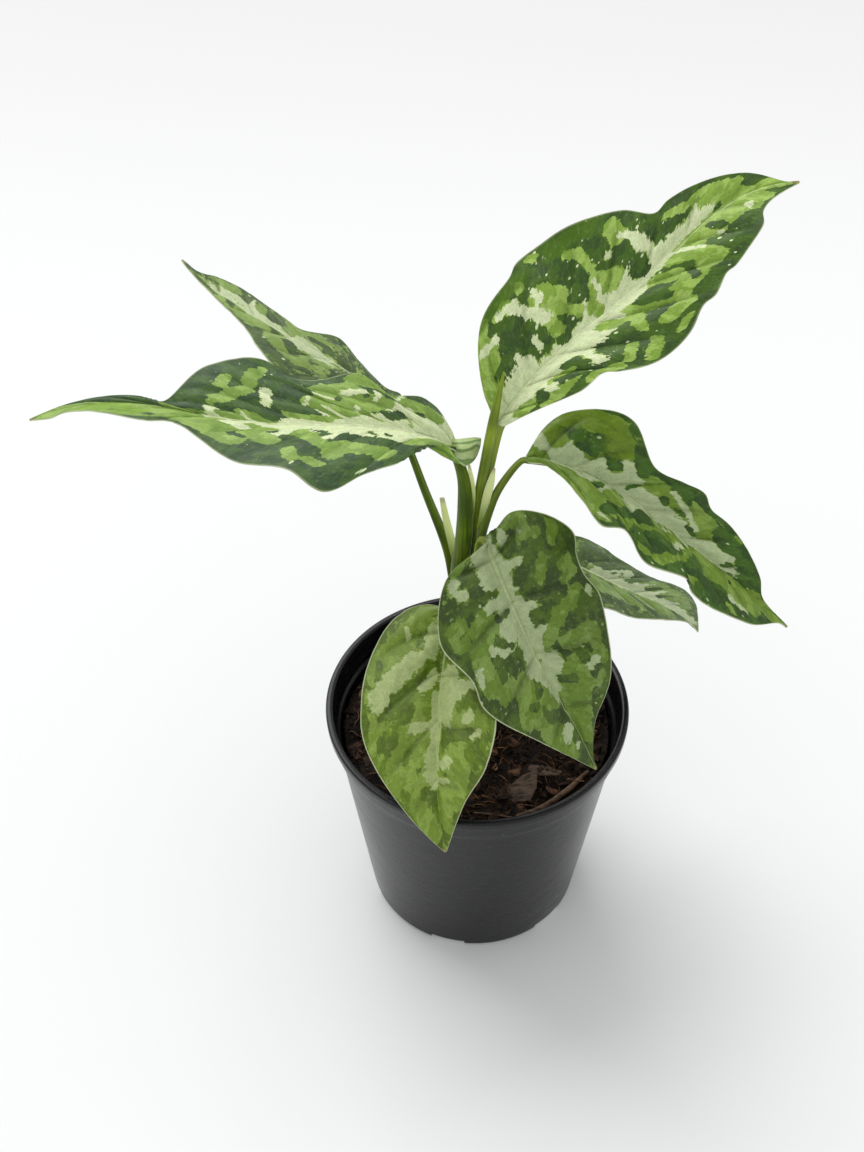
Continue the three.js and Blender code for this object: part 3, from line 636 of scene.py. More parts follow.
def midrib(leaf):
    t = np.linspace(0, 1, MIDRIB_STEPS + 1)
    heading, pitch, roll = (np.radians(through(leaf[key], t)) for key in ("heading", "pitch", "roll"))
    along = np.stack([np.cos(pitch) * np.cos(heading), np.cos(pitch) * np.sin(heading), np.sin(pitch)], 1)
    step = leaf["length"] / MIDRIB_STEPS
    walked = np.cumsum((along[1:] + along[:-1]) * step / 2, axis=0)
    at = np.array(leaf["base"], float) + np.vstack([[0, 0, 0], walked])
    level = unit(np.cross(along, UP))
    lifted = np.cross(level, along)
    side = level * np.cos(roll)[:, None] + lifted * np.sin(roll)[:, None]
    normal = lifted * np.cos(roll)[:, None] - level * np.sin(roll)[:, None]
    return {"at": at, "along": along, "side": side, "normal": normal}


def station(line, key, share):
    """One of the midrib's lists, read at shares of its length."""
    place = np.clip(share, 0, 1) * MIDRIB_STEPS
    i = np.minimum(place.astype(int), MIDRIB_STEPS - 1)
    f = (place - i)[..., None]
    return line[key][i] * (1 - f) + line[key][i + 1] * f


def grown(leaf, line, x, y):
    """Where points of the flat blade, x along and y to the right, lie on the grown leaf."""
    share = np.clip(x / leaf["length"], 0, 1)
    fold = np.radians(leaf["fold"][0] + (leaf["fold"][1] - leaf["fold"][0]) * share)
    curl = math.radians(leaf["arch"])
    out = np.abs(y)
    sideways = (np.sin(fold) - np.sin(fold - curl * out)) / curl
    lift = (np.cos(fold - curl * out) - np.cos(fold)) / curl
    height, count, right, left = leaf["wave"]
    grip = np.minimum(out / leaf["half"], 1.3) ** 2 * np.sqrt(np.sin(np.pi * share))
    wave = height * grip * np.sin(2 * np.pi * (count * share + np.where(y > 0, right, left)))
    return (
        station(line, "at", share)
        + station(line, "along", share) * (x - share * leaf["length"])[..., None]
        + station(line, "side", share) * (np.sign(y) * sideways)[..., None]
        + station(line, "normal", share) * (lift + wave)[..., None]
    )


print("midrib steps:", MIDRIB_STEPS)

# %% [markdown]
# The blade's grid follows the side veins: each row starts on the midrib and ends further forward
# on the margin, as a vein does. The rows are what makes the pattern and the creases look grown.
# Every point keeps three small vectors for the materials and the relief: `flow` (millimetres
# along, millimetres out), `spot` (share along, share out, how near a side vein) and `patch` (how
# green, how creamy and how lit-through it is, from strokes that are laid down one by one like paint:
# each is a line from one place to another and half its breadth).

# %% The blade's grid
BLADE_ROWS = 180
BLADE_STATIONS = 42              # from the midrib to the margin
TIP_HALF = 0.4
STROKE_FADE = 2.4                # mm over which a stroke's edge fades, for noise to eat into
CREAM_FADE = 4.6                 # cream fades over more, so that its edge frays along the veins
TONES = {"dark": (-1.0, -1.0), "green": (1.0, -1.0), "cream": (1.0, 1.0)}


def painted(leaf, places):
    """Greenness and creaminess from -1 to 1 and glow from 0 to 1, stroke laid over stroke."""
    tone_of = np.tile(np.array([leaf["look"]["plain"], -0.8, 0.0]), (len(places), 1))
    for tone, strokes in leaf["strokes"].items():
        for x0, y0, x1, y1, half in strokes:
            fade = min(CREAM_FADE, 1.6 + half) if "cream" in tone else STROKE_FADE
            start = np.array([x0, y0], float)
            run = np.array([x1, y1], float) - start
            share = np.clip((places - start) @ run / max(run @ run, 1e-9), 0, 1)
            away = np.linalg.norm(places - start - share[:, None] * run, axis=1)
            cover = np.clip((half - away) / fade + 0.5, 0, 1)
            if tone == "glow":
                tone_of[:, 2] = np.maximum(tone_of[:, 2], cover)
            else:
                kind = np.array(TONES[tone.split()[0]])
                tone_of[:, :2] += (kind - tone_of[:, :2]) * cover[:, None]
    return tone_of


def crease_of(leaf, run, out):
    """How near each point is to a side vein, 0 on it and 0.5 halfway between two."""
    crease = np.zeros_like(run)
    for sign, (first, spacing, lean) in zip((-1, 1), leaf["veins"]):
        half = out < 0 if sign < 0 else out >= 0
        phase = (run[half] - first - lean * np.abs(out[half])) / spacing
        crease[half] = np.abs(phase - np.round(phase))
    return crease


def blade_grid(leaf, line, stalk_half):
    """Points and attributes of the blade's middle sheet, rows by columns."""
    length = leaf["length"]
    u = np.linspace(0, 1, BLADE_ROWS + 1)
    v = np.linspace(0, 1, BLADE_STATIONS + 1) ** 1.3
    v = np.concatenate([-v[:0:-1], v])
    root = length * (0.1 * u + 0.9 * u ** 1.7)
    x = np.zeros((len(u), len(v)))
    y = np.zeros_like(x)
    out = np.zeros_like(x)
    for sign, key in ((-1, "left"), (1, "right")):
        outline = [(0, stalk_half), *leaf[key], (length, TIP_HALF)]
        edge = wire(outline, BLADE_ROWS)
        half = v < 0 if sign < 0 else v >= 0
        reach = np.abs(v[half])
        x[:, half] = root[:, None] * (1 - reach) + edge[:, :1] * reach
        y[:, half] = sign * edge[:, 1:] * reach
        out[:, half] = sign * np.hypot(edge[:, :1] - root[:, None], edge[:, 1:]) * reach
    run = np.repeat((length * (0.5 * u + 0.5 * u ** 1.7))[:, None], len(v), axis=1)
    patch = painted(leaf, np.stack([run, out], -1).reshape(-1, 2))
    share = np.clip(x / length, 0, 1)
    from_rib = out - leaf.get("rib_shift", 0.0) * np.sin(np.pi * share)
    flow = np.stack([run, from_rib, np.zeros_like(run)], -1).reshape(-1, 3)
    spot = np.stack([share, np.repeat(np.abs(v)[None], len(u), 0), crease_of(leaf, run, from_rib)], -1)
    points = grown(leaf, line, x.ravel(), y.ravel())
    return points, {"flow": flow, "spot": spot.reshape(-1, 3), "patch": patch}


def grid_faces(rows, columns):
    """The four-sided faces of a sheet, row by row."""
    wide = columns + 1
    corners = [i * wide + j for i in range(rows) for j in range(columns)]
    return [(k, k + 1, k + wide + 1, k + wide) for k in corners]


BLADE_FACES = grid_faces(BLADE_ROWS, 2 * BLADE_STATIONS)
print("faces in one sheet:", len(BLADE_FACES))

# %% [markdown]
# ## Vein relief with Geometry Nodes
#
# On the real leaf the side veins are sunk and the skin between them swells up like a quilt; the
# midrib is a low ridge. The relief follows the surface, so it is a Geometry Nodes tree that
# moves each point along its own normal by a sum of small heights. The inputs are named sizes, so
# one tree serves all seven leaves: the two front ones are quilted most, the others less.

# %% Vein relief tree
def vein_relief_tree():
    tree, given = geometry_tree("Vein relief", {
        "Quilt height": "number", "Groove depth": "number", "Midrib height": "number",
        "Crinkle height": "number", "Seed": "number",
    })
    _, out, _ = split(tree, stored(tree, "flow", "FLOAT_VECTOR"))
    share, margin, crease = split(tree, stored(tree, "spot", "FLOAT_VECTOR"))
    inner = margin * -1.0 + 1.0
    fading = (share * -1.0 + 1.0).ramp(0.02, 0.4)
    quilt = (crease * math.pi).sine() * margin.ramp(0.0, 0.3) * inner.ramp(0.0, 0.4) * fading
    groove = (crease * -1.0 + 0.09).ramp(0.0, 0.09) * inner.ramp(0.05, 0.5) * fading
    taper = share * -0.85 + 1.0
    ridge = (abs(out) * -1.0 + taper * 1.3).ramp(0.0, 1.2) * taper
    crinkle = (noise(tree, seeded_place(tree, given["Seed"]), 160.0, 2.0) - 0.5) * margin.ramp(0.1, 0.6)
    height = (
        quilt * given["Quilt height"]
        - groove * given["Groove depth"]
        + ridge * given["Midrib height"]
        + crinkle * given["Crinkle height"]
    )
    moved = push(tree, given["Geometry"], scaled(tree, field(tree, "Normal"), height))
    geometry_out(tree, moved, given["Material"])
    return tree


VEIN_RELIEF = vein_relief_tree()
print("tree:", VEIN_RELIEF.name, "nodes:", len(VEIN_RELIEF.nodes))

# %% [markdown]
# `make_blade` puts it together: the sheet, the relief, and a Solidify modifier for half a
# millimetre of thickness. Solidify keeps the first sheet's faces first, then its copy, then the
# rim, which is how the three finishes find their faces.

# %% Making a blade
BLADE_THICKNESS = 0.5
RIB_HEIGHT = 0.5
CRINKLE_HEIGHT = 0.9


def make_blade(name, leaf, line):
    points, vectors = blade_grid(leaf, line, leaf["breadth"][-1])
    upper = upper_finish(name, leaf["look"])
    paints = [upper, under_finish(name, leaf["look"]), edge_finish(name, leaf["look"])]
    blade = new_piece(name + "_blade", points, BLADE_FACES, paints[:1], vectors)
    run_tree(blade, VEIN_RELIEF, {
        "Quilt height": leaf["quilt"] * MM, "Groove depth": leaf["groove"] * MM,
        "Midrib height": RIB_HEIGHT * MM, "Crinkle height": CRINKLE_HEIGHT * MM,
        "Seed": leaf["look"]["seed"], "Material": upper,
    })
    skin = blade.modifiers.new("thickness", "SOLIDIFY")
    skin.thickness = BLADE_THICKNESS * MM
    skin.offset = 0
    keep_result(blade)
    blade.data.materials.clear()
    for paint in paints:
        blade.data.materials.append(paint)
    faces = len(BLADE_FACES)
    marks = [0] * faces + [1] * faces + [2] * (len(blade.data.polygons) - 2 * faces)
    blade.data.polygons.foreach_set("material_index", marks)
    smooth(blade, 60)
    return blade


print("blade thickness:", BLADE_THICKNESS, "mm")

# %% [markdown]
# ## Stalks
#
# A stalk starts as a foot that clasps the stem, turns into a round stalk with a shallow channel
# on top, and runs on under the blade as the keel of the midrib, thinner and thinner to the tip.
# It is a skin over a row of rings. The path between foot and blade passes through a few given
# points, smoothed the way a bent wire would be.

# %% The stem's axis
STEM_FOOT_Z = 66.0
STEM_TIP_Z = 163.0
STEM_X = [1, 0, -1.4, -3]
STEM_Y = [5.5, 7.5, 10.5, 13.6]
STEM_RADII = [6.6, 6.4, 5.6, 4.9, 3.2]
CLASP_GAP = 0.4                  # between the stem and a stalk's clasping foot


def stem_share(z):
    """0 at the stem's foot, 1 at its tip."""
    return (np.asarray(z, float) - STEM_FOOT_Z) / (STEM_TIP_Z - STEM_FOOT_Z)


def stem_axis(z):
    """The middle of the stem at height z."""
    t = stem_share(z)
    return np.stack([through(STEM_X, t), through(STEM_Y, t), np.asarray(z, float)], -1)


def stem_radius(z):
    return through(STEM_RADII, stem_share(z))


print("stem radius at 120 mm:", round(float(stem_radius(np.array([120.0]))[0]), 2))

# %% [markdown]
# `skin` closes a row of equal rings into one body, with a fan over each end, and stores how far
# along and how far round each point is, for the materials.

# %% Skins over rings
def skin(name, rings, paint, run=None):
    """A closed body over rings shaped (ring, point, xyz)."""
    count, size, _ = rings.shape
    points = np.vstack([rings.reshape(-1, 3), rings[0].mean(0), rings[-1].mean(0)])
    faces = []
    for i in range(count - 1):
        for k in range(size):
            n = (k + 1) % size
            faces.append((i * size + k, i * size + n, (i + 1) * size + n, (i + 1) * size + k))
    first, last = count * size, count * size + 1
    for k in range(size):
        n = (k + 1) % size
        faces.append((first, n, k))
        faces.append((last, (count - 1) * size + k, (count - 1) * size + n))
    run = np.linspace(0, 1, count) if run is None else run
    turn = np.arange(size) / size
    spot = np.stack([np.repeat(run, size), np.tile(turn, count), np.zeros(count * size)], 1)
    spot = np.vstack([spot, [run[0], 0.5, 0], [run[-1], 0.5, 0]])
    piece = new_piece(name, points, faces, [paint], {"spot": spot})
    smooth(piece, 50)
    return piece


print("skins ready")

# %% [markdown]
# The rings of a stalk need a side and an up direction at every step. They are carried from the
# blade back to the foot, kept square to the path, so they don't twist. At the foot the stalk has to
# face the stem, and the turn that is still missing there is spread over the whole length.

# %% Rings of a stalk
STALK_STEPS = 70
STALK_SIDES = 32
KEEL_STEPS = 40
CLASP_SPAN = math.radians(45)
CLASP_CLIMB = 18.0               # over this climb the clasping foot turns into a round stalk
STALK_SINK = 0.35                # how far the stalk's top reaches into the blade


def smoothstep(value, low, high):
    t = np.clip((value - low) / (high - low), 0, 1)
    return t * t * (3 - 2 * t)


def stalk_frames(path, line):
    """Side and up for each step, carried back from the blade without twisting."""
    along = unit(np.gradient(path, axis=0))
    along[-1] = line["along"][0]
    side = np.zeros_like(path)
    held = line["side"][0]
    for i in range(len(path) - 1, -1, -1):
        held = unit(held - along[i] * (held @ along[i]))
        side[i] = held
    return along, side, np.cross(side, along)


def stalk_rings(leaf, line):
    foot_z, compass = leaf["clasp"]
    facing = math.radians(compass)
    outward = np.array([math.cos(facing), math.sin(facing), 0.0])
    top = np.array(leaf["base"], float) + line["normal"][0] * (STALK_SINK - leaf["depth"][-1])

    def foot(z):
        inside = stem_radius(np.array([z]))[0] + CLASP_GAP
        return stem_axis(np.array([z]))[0] + outward * (inside + leaf["depth"][0])

    before = top - line["along"][0] * 2
    path = wire([foot(foot_z), foot(foot_z + 8), *leaf["route"], before, top], STALK_STEPS)
    along, side, up = stalk_frames(path, line)
    wanted = np.cross(along[0], -outward)
    spare = math.atan2(wanted @ up[0], wanted @ side[0])
    t = np.linspace(0, 1, STALK_STEPS + 1)
    turn = (spare * (1 - smoothstep(t, 0, 0.9)))[:, None]
    across = side * np.cos(turn) + up * np.sin(turn)
    raised = up * np.cos(turn) - side * np.sin(turn)
    return path, across, raised, t, facing


print("stalk steps:", STALK_STEPS)

# %% [markdown]
# The section of a stalk is an ellipse with a channel pressed into its upper side. At the foot the
# same ring is laid against the stem instead, like an open cuff, and the two are blended on the way
# up.

# %% Making a stalk
def full_turn(count):
    """Even angles all the way round."""
    return 2 * np.pi * np.arange(count) / count


def section(centres, across, raised, breadth, depth, channel):
    """Elliptical rings with a channel along the top."""
    turn = full_turn(STALK_SIDES)
    dent = 1 - channel[:, None] * np.exp(-((np.cos(turn) / 0.5) ** 2)) * (np.sin(turn) > 0)
    wide = (breadth[:, None] * np.cos(turn))[..., None] * across[:, None]
    high = (depth[:, None] * np.sin(turn) * dent)[..., None] * raised[:, None]
    return centres[:, None] + wide + high


def cuff(path, leaf, facing):
    """The same rings laid against the stem."""
    turn = full_turn(STALK_SIDES)
    z = path[:, 2]
    swing = facing - np.cos(turn) * CLASP_SPAN
    inner = stem_radius(z)[:, None] + CLASP_GAP
    bulge = 0.7 + (2 * leaf["depth"][0] - 0.7) * (1 - np.cos(turn) ** 2)
    wall = np.where(np.sin(turn) < 0, bulge * np.abs(np.sin(turn)) ** 0.5, 0)
    reach = inner + wall
    flat = np.stack([reach * np.cos(swing), reach * np.sin(swing), np.zeros_like(reach)], -1)
    return stem_axis(z)[:, None] + flat


def make_stalk(name, leaf, line, paint):
    path, across, raised, t, facing = stalk_rings(leaf, line)
    channel = 0.45 * smoothstep(t, 0.35, 0.9)
    breadth, depth = (through(leaf[key], t) for key in ("breadth", "depth"))
    round_rings = section(path, across, raised, breadth, depth, channel)
    hug = 1 - smoothstep(path[:, 2], leaf["clasp"][0] + 3, leaf["clasp"][0] + CLASP_CLIMB)
    rings = round_rings * (1 - hug[:, None, None]) + cuff(path, leaf, facing) * hug[:, None, None]

    share = np.linspace(0.012, 0.97, KEEL_STEPS) ** 1.1
    breadth = leaf["breadth"][-1] * (0.15 + 0.85 * (1 - share)) * 0.9
    depth = leaf["depth"][-1] * (0.12 + 0.88 * (1 - share) ** 1.2)
    sink = 0.4 * np.exp(-share * leaf["length"] / 3) - 0.2
    centres = station(line, "at", share) - station(line, "normal", share) * (depth - sink)[:, None]
    keel = section(
        centres, station(line, "side", share), station(line, "normal", share),
        breadth, depth, 0.45 * (1 - smoothstep(share, 0, 0.1)),
    )
    run = np.concatenate([t, 1 + share])
    return skin(name + "_stalk", np.concatenate([rings, keel]), paint, run)


print("stalk sides:", STALK_SIDES)

# %% [markdown]
# ## Stalk finish
#
# Stalks are smooth and slightly glossy, dark olive with lighter lengthwise lines, and a painted
# highlight makes them paler towards the channel on top. One function makes three tones of it: the
# stalks of the shaded leaves get darker copies, a painted shade.

# %% Stalk finish
def stalk_finish(name, deep, light, pale):
    paint, tree, shader = material(name, {"Specular IOR Level": 0.15})
    run, turn, _ = split(tree, attribute(tree, "spot"))
    bend = (turn * 2 * math.pi).sine()
    lines = streaks(tree, join(tree, bend * 3.0, run * 3.0, turn * 14.0), 1.0, 1.6, 3.0)
    cloud = noise(tree, object_place(tree), 60.0, 2.0)
    # Painted highlight: the upper side of the stalk is blended towards the pale tone.
    top = bend.ramp(0.25, 1.0)
    colour = blend(tree, (lines * 0.7 + cloud * 0.5).ramp(0.45, 0.8), deep, light)
    colour = blend(tree, top * 0.6, colour, pale)
    normal = bump(tree, lines, 0.0002, 0.6)
    dress(tree, shader, scaled(tree, colour, cloud * 0.4 + 0.8), lines * 0.15 + 0.36, normal)
    return paint


# The moss and deep copies are darker for the leaves in shade: painted shade.
STALK_PAINTS = {
    "olive": stalk_finish("stalk_olive", (0.085, 0.14, 0.008), (0.25, 0.34, 0.025), (0.40, 0.47, 0.12)),
    "moss": stalk_finish("stalk_moss", (0.050, 0.085, 0.005), (0.13, 0.19, 0.014), (0.20, 0.27, 0.05)),
    "deep": stalk_finish("stalk_deep", (0.035, 0.068, 0.002), (0.12, 0.19, 0.004), (0.15, 0.23, 0.012)),
}
print("stalk finishes:", list(STALK_PAINTS))

# %% [markdown]
# ## Seven leaves
#
# Each leaf is one entry: where its base is, how it bends, its flat outline as (along, out) pairs,
# how its stalk runs, and its look. The strokes of its pattern follow, tone by tone. All seven share
# most of the look, so the shared values are written once and each leaf changes what differs. We
# start with those shared values.

# %% Shared look
COMMON_LOOK = {
    "seed": 1.0, "plain": -0.5, "wild": 1.3, "fray": 0.5, "flecks": 0.10,
    "dark": (0.027, 0.066, 0.007), "dark_warm": (0.048, 0.11, 0.008),
    "green": (0.20, 0.33, 0.026), "green_light": (0.29, 0.43, 0.06), "cream": (0.62, 0.69, 0.41),
    # One value here sets how much painted shade darkens the leaf along its side veins.
    "glow": (0.075, 0.155, 0.003), "glow_share": 0.75, "painted_crease_shade": 0.2, "silver": 0.1,
    "rib": (0.58, 0.65, 0.38), "rib_share": 0.7, "furrow": (0.13, 0.20, 0.04),
    "edge": (0.45, 0.50, 0.30), "edge_share": 0.4, "under": (0.10, 0.17, 0.05),
    "under_light": (0.20, 0.30, 0.08),
}


def plant_leaf(name, leaf, strokes):
    """Makes blade and stalk of one leaf and hands both to the frame."""
    leaf = {**leaf, "strokes": strokes, "look": {**COMMON_LOOK, **leaf["look"]}}
    line = midrib(leaf)
    blade = make_blade(name, leaf, line)
    stalk = make_stalk(name, leaf, line, STALK_PAINTS[leaf.get("stalk", "olive")])
    settle(blade, "leaf", name)
    settle(stalk, "stalk", name)


print("shared look:", len(COMMON_LOOK), "values")

# %% [markdown]
# The tall leaf at the upper right is the brightest: a wide cream band, big yellow-green patches
# and a margin that waves in long slow bends. Its strokes are listed in the order in which they are
# laid: the cream band, then green and dark patches over it, then a few cream flames on top. Two
# places near the edge glow, because light falls through them from behind.

# %% Upright leaf
plant_leaf("leaf_upright", {
    "base": [6, 16, 236], "length": 135,
    "heading": [19, 23, 28, 11], "pitch": [65, 33, 36, -6], "roll": [-28, -28, -28, -20],
    "fold": [25, 10], "arch": 0.5, "half": 31, "wave": [2.5, 3.5, 0.1, 0.55],
    "right": [
        (0, 2), (6, 6), (31, 18), (41, 18.5), (46, 22), (56, 26.5), (70, 26),
        (79, 22.5), (84, 23), (92, 20), (97, 20), (115, 14), (118, 9),
    ],
    "left": [
        (7, 11), (22, 25), (37, 30), (42, 33), (67, 29), (82, 22), (89, 13), (95, 13), (118, 7), (130, 0.6),
    ],
    "clasp": [151, 66], "route": [[-0.6, 19.2, 172], [0.2, 19, 188], [1, 18, 203], [2.9, 16.9, 218]],
    "breadth": [3, 2.9, 2.5, 1.7], "depth": [1.2, 1.7, 1.7, 1.4],
    "veins": [(12, 17, 0.25), (8, 17, 0.5)], "quilt": 1.4, "groove": 0.4, "rib_shift": 2.5,
    "look": {
        "seed": 1.0, "plain": -0.7, "flecks": 0.45, "fray": 0.7, "dark": (0.038, 0.080, 0.013),
        "dark_warm": (0.056, 0.118, 0.010), "green": (0.215, 0.34, 0.045),
        "green_light": (0.31, 0.45, 0.09),
    },
}, {
    "cream": [
        (4, 4, 56, 4.5, 6.5), (6, -3, 30, -3, 3.5), (54, 1, 100, 0, 3.2), (63, -4, 70, -4, 5),
        (84, -3, 104, -3, 3), (101, -7, 105, -5, 2.2), (27, -10, 30, -3, 0.8), (36, -10, 37.5, -6, 0.8),
        (55, -8, 58, -2, 1.2), (44, 9, 40, 19, 2.3), (22, 11, 30, 12, 2.5), (21, 17, 24, 14, 1),
        (66, 4, 74, 5, 3),
    ],
    "green": [
        (8, -10, 16, -17, 6), (14, -24, 18, -26, 3), (33.5, -29, 34, -28, 1.7), (27, -27.5, 28, -27, 1),
        (40, -21, 46, -16, 3.6), (42, -12, 46, -5, 2), (46, -14, 54, -7, 1.5), (50, -28.5, 55, -26, 1.4),
        (55, -26, 61, -14, 1.3), (61, -12, 68, -8, 3.4), (67, -27, 70, -22, 2.8), (88, -14.5, 96, -11, 1.3),
        (99, -12, 112, -8, 2), (104, -8, 118, -3, 3), (114, -2, 130, -1, 3), (59, -5, 62, -2, 2),
        (38, -36, 39, -35, 1.3), (9, 9, 13, 10, 3.5), (14, 17, 26, 20, 2.5), (26, 12, 34, 14, 1.5),
        (27, 26, 38, 27, 2.5), (58, 7, 62, 9, 4), (62, 13, 57, 20, 1.6), (65, 10, 71, 20, 3),
        (74, 19, 88, 18, 4), (78, 8, 80, 12, 3.5), (62, 24, 68, 25, 2.8), (43, 27, 50, 22, 1.4),
        (46, 32, 54, 27, 1.5), (58, 31, 62, 31, 1.3), (87, 6, 90, 14, 3), (94, 5, 118, 4, 4.5),
        (100, 9, 112, 9, 3),
    ],
    "dark": [
        (76, -6, 81, -2, 2.2), (46, -3, 48, -1.5, 1.6), (15, -10.5, 20, -11, 1), (116, -6, 120, -4, 1.3),
        (17, 14, 21, 11, 1.6), (35, 10, 40, 11, 1.5), (39, 12, 38, 16, 1.5), (26.5, 13, 27, 19, 0.8),
        (30, 20, 34, 17, 1.3), (24, 23, 26, 22, 1.3), (69, 11, 74, 10, 2.5), (71, 12, 71, 16, 2),
        (79, 20, 84, 12, 1.2), (96, 15, 110, 12, 2), (102, 5, 102, 9, 1.7),
    ],
    "cream late": [
        (24, -25, 31, -24.5, 1.3), (31, -24, 42, -13, 1.6), (38.5, -24, 40, -20, 1.2),
        (13, -20, 22, -19.5, 1.2), (70, -22, 76, -17, 0.9), (76, -16, 83, -7, 1.4), (59.5, -14, 62, -8, 0.9),
        (65.5, -18, 66, -18, 1.2), (62, 8, 63, 4, 1.5), (91, 4, 92, 11, 1), (99, 10.5, 99, 11, 1),
        (112, 9, 115, 6, 0.8),
    ],
    "glow": [(18, -28, 33, -31, 3), (45, -33, 60, -32.5, 3.2)],
})

# %% [markdown]
# The long leaf at the left lies almost level, its tip rolled and drawn out. Its pattern is finer
# and the darks between the patches are paler than on the upright leaf.

# %% Left leaf
plant_leaf("leaf_left", {
    "base": [-9, 16, 223], "length": 157,
    "heading": [207, 182, 172, 190], "pitch": [51, 2, 7, -21], "roll": [14, 14, 14, 14],
    "fold": [25, 15], "arch": 1, "half": 30, "wave": [2.5, 3.5, 0.3, 0.8],
    "right": [
        (1, 3.2), (3.5, 4), (7, 8.5), (10.7, 12), (18, 14.5), (31, 12.5), (41, 19), (56, 17),
        (67, 18.5), (77, 24.5), (99, 18), (110, 2), (119, 3),
    ],
    "left": [
        (3, 2.6), (7, 3), (10.7, 4.2), (14.7, 5.8), (18.8, 8.2), (25, 12), (30.6, 18), (36, 20.5), (42, 23),
        (54, 30), (65, 22), (81, 19), (104, 7), (116, 8), (144, 2), (149, 3),
    ],
    "stalk": "deep", "clasp": [147, 230],
    "route": [[-8, 11, 166], [-6.5, 11.6, 180], [-5.6, 12.8, 198], [-6.4, 14.2, 212]],
    "breadth": [3.4, 3.3, 3.2, 2.4], "depth": [1.3, 2.9, 3.1, 2.0],
    "veins": [(10, 18, 0.2), (20, 16, 1.2)], "quilt": 0.9, "groove": 0.15,
    "look": {
        "seed": 2.3, "plain": -0.75, "fray": 0.6, "dark": (0.040, 0.078, 0.028),
        "dark_warm": (0.06, 0.115, 0.028), "green": (0.20, 0.315, 0.06),
        "green_light": (0.27, 0.40, 0.09), "glow": (0.19, 0.33, 0.02), "painted_crease_shade": 0.12,
    },
}, {
    "cream": [
        (30, -5, 52, -3, 5), (28, -9, 36, -7, 3), (52, -3, 68, -3, 4.5), (55, -10, 56, -13, 1),
        (60, -7, 62, -9, 1.2), (68, -4, 100, -2, 4.5), (70, -9, 74, -13, 1.2), (85, -8, 92, -9, 2),
        (6, -1, 30, -3, 3), (12, 3, 34, 3, 4), (6, 5, 20, 6, 4.5), (22, 11, 32, 11, 3), (38, 3, 50, 3, 4.5),
        (50, 5, 60, 6, 3.5), (60, 2, 76, 2, 2.5),
    ],
    "green": [
        (8, -8, 26, -10, 4), (30, -21, 34, -19, 3), (36, -17, 50, -15.5, 3.2), (48, -21, 51, -20, 2),
        (49, -27, 53, -25, 1.3), (56, -26, 61, -21, 1.6), (54, -18, 68, -7, 2), (70, -16, 80, -12, 2.5),
        (78, -20, 98, -15, 2.5), (76, -9, 86, -4, 1.3), (88, -13, 112, -7, 4), (95, -6, 112, -3, 2.5),
        (112, -8, 150, -2, 7), (12, 10, 18, 16, 2.5), (24, 20, 32, 26, 4), (34, 14, 44, 13, 3.5),
        (46, 9, 60, 5, 2), (40, 22, 52, 15, 4.5), (46, 12, 60, 10, 3.5), (56, 14, 62, 11, 3),
        (44, 26, 50, 24, 2), (63, 3, 74, 6, 1.8), (83, 2, 87, 5, 2.5), (92, 3, 95, 3, 2.5),
        (87, 15, 96, 12, 2.2), (78, 19, 84, 17, 2), (70, 29, 76, 22, 1.8), (81, 26, 85, 21, 1.6),
        (102, 5, 112, 3, 2.5), (66, 31, 70, 28, 1.2), (30, 5, 31, 3, 0.8), (42, 4, 44, 6, 0.9),
    ],
    "dark": [
        (27, -16, 52, -9.5, 1.6), (38, -8, 41, -6, 0.6), (44, -7, 47, -5, 0.6), (60, -8, 66, -4.5, 0.7),
        (53, -21, 66, -13, 1.2), (92, -3, 94, -1, 0.6), (31, 8.5, 37, 6, 1.7), (18, 11, 20, 14, 1),
        (67, 10, 71, 16, 4), (62, 18, 54, 26, 3), (77, 6, 81, 4, 2), (95, 14, 100, 7, 2),
        (63, 6, 66, 9, 1.2), (45, 18, 48, 16, 0.7), (110, -12, 124, -10, 1),
    ],
    "cream late": [
        (72, 19, 77, 11, 1.3), (96, 8, 99, 4, 1.4), (88, 6, 89, 3, 0.8), (36, 20, 42, 20.5, 1.3),
        (52, 12, 53, 14, 0.9), (60, 15, 64, 11, 0.7), (55, 4, 58, 10, 0.8), (61, 5, 62, 8, 0.6),
        (33, -28.5, 36, -28.5, 0.7), (20, 14, 24, 13, 1.2), (17, 21, 22, 19, 0.9), (47, 9, 44, 12, 0.9),
        (49, 17, 53, 20, 0.7), (32, 18, 35, 15, 0.8),
    ],
    "glow": [(116, -11, 136, -4, 4)],
})
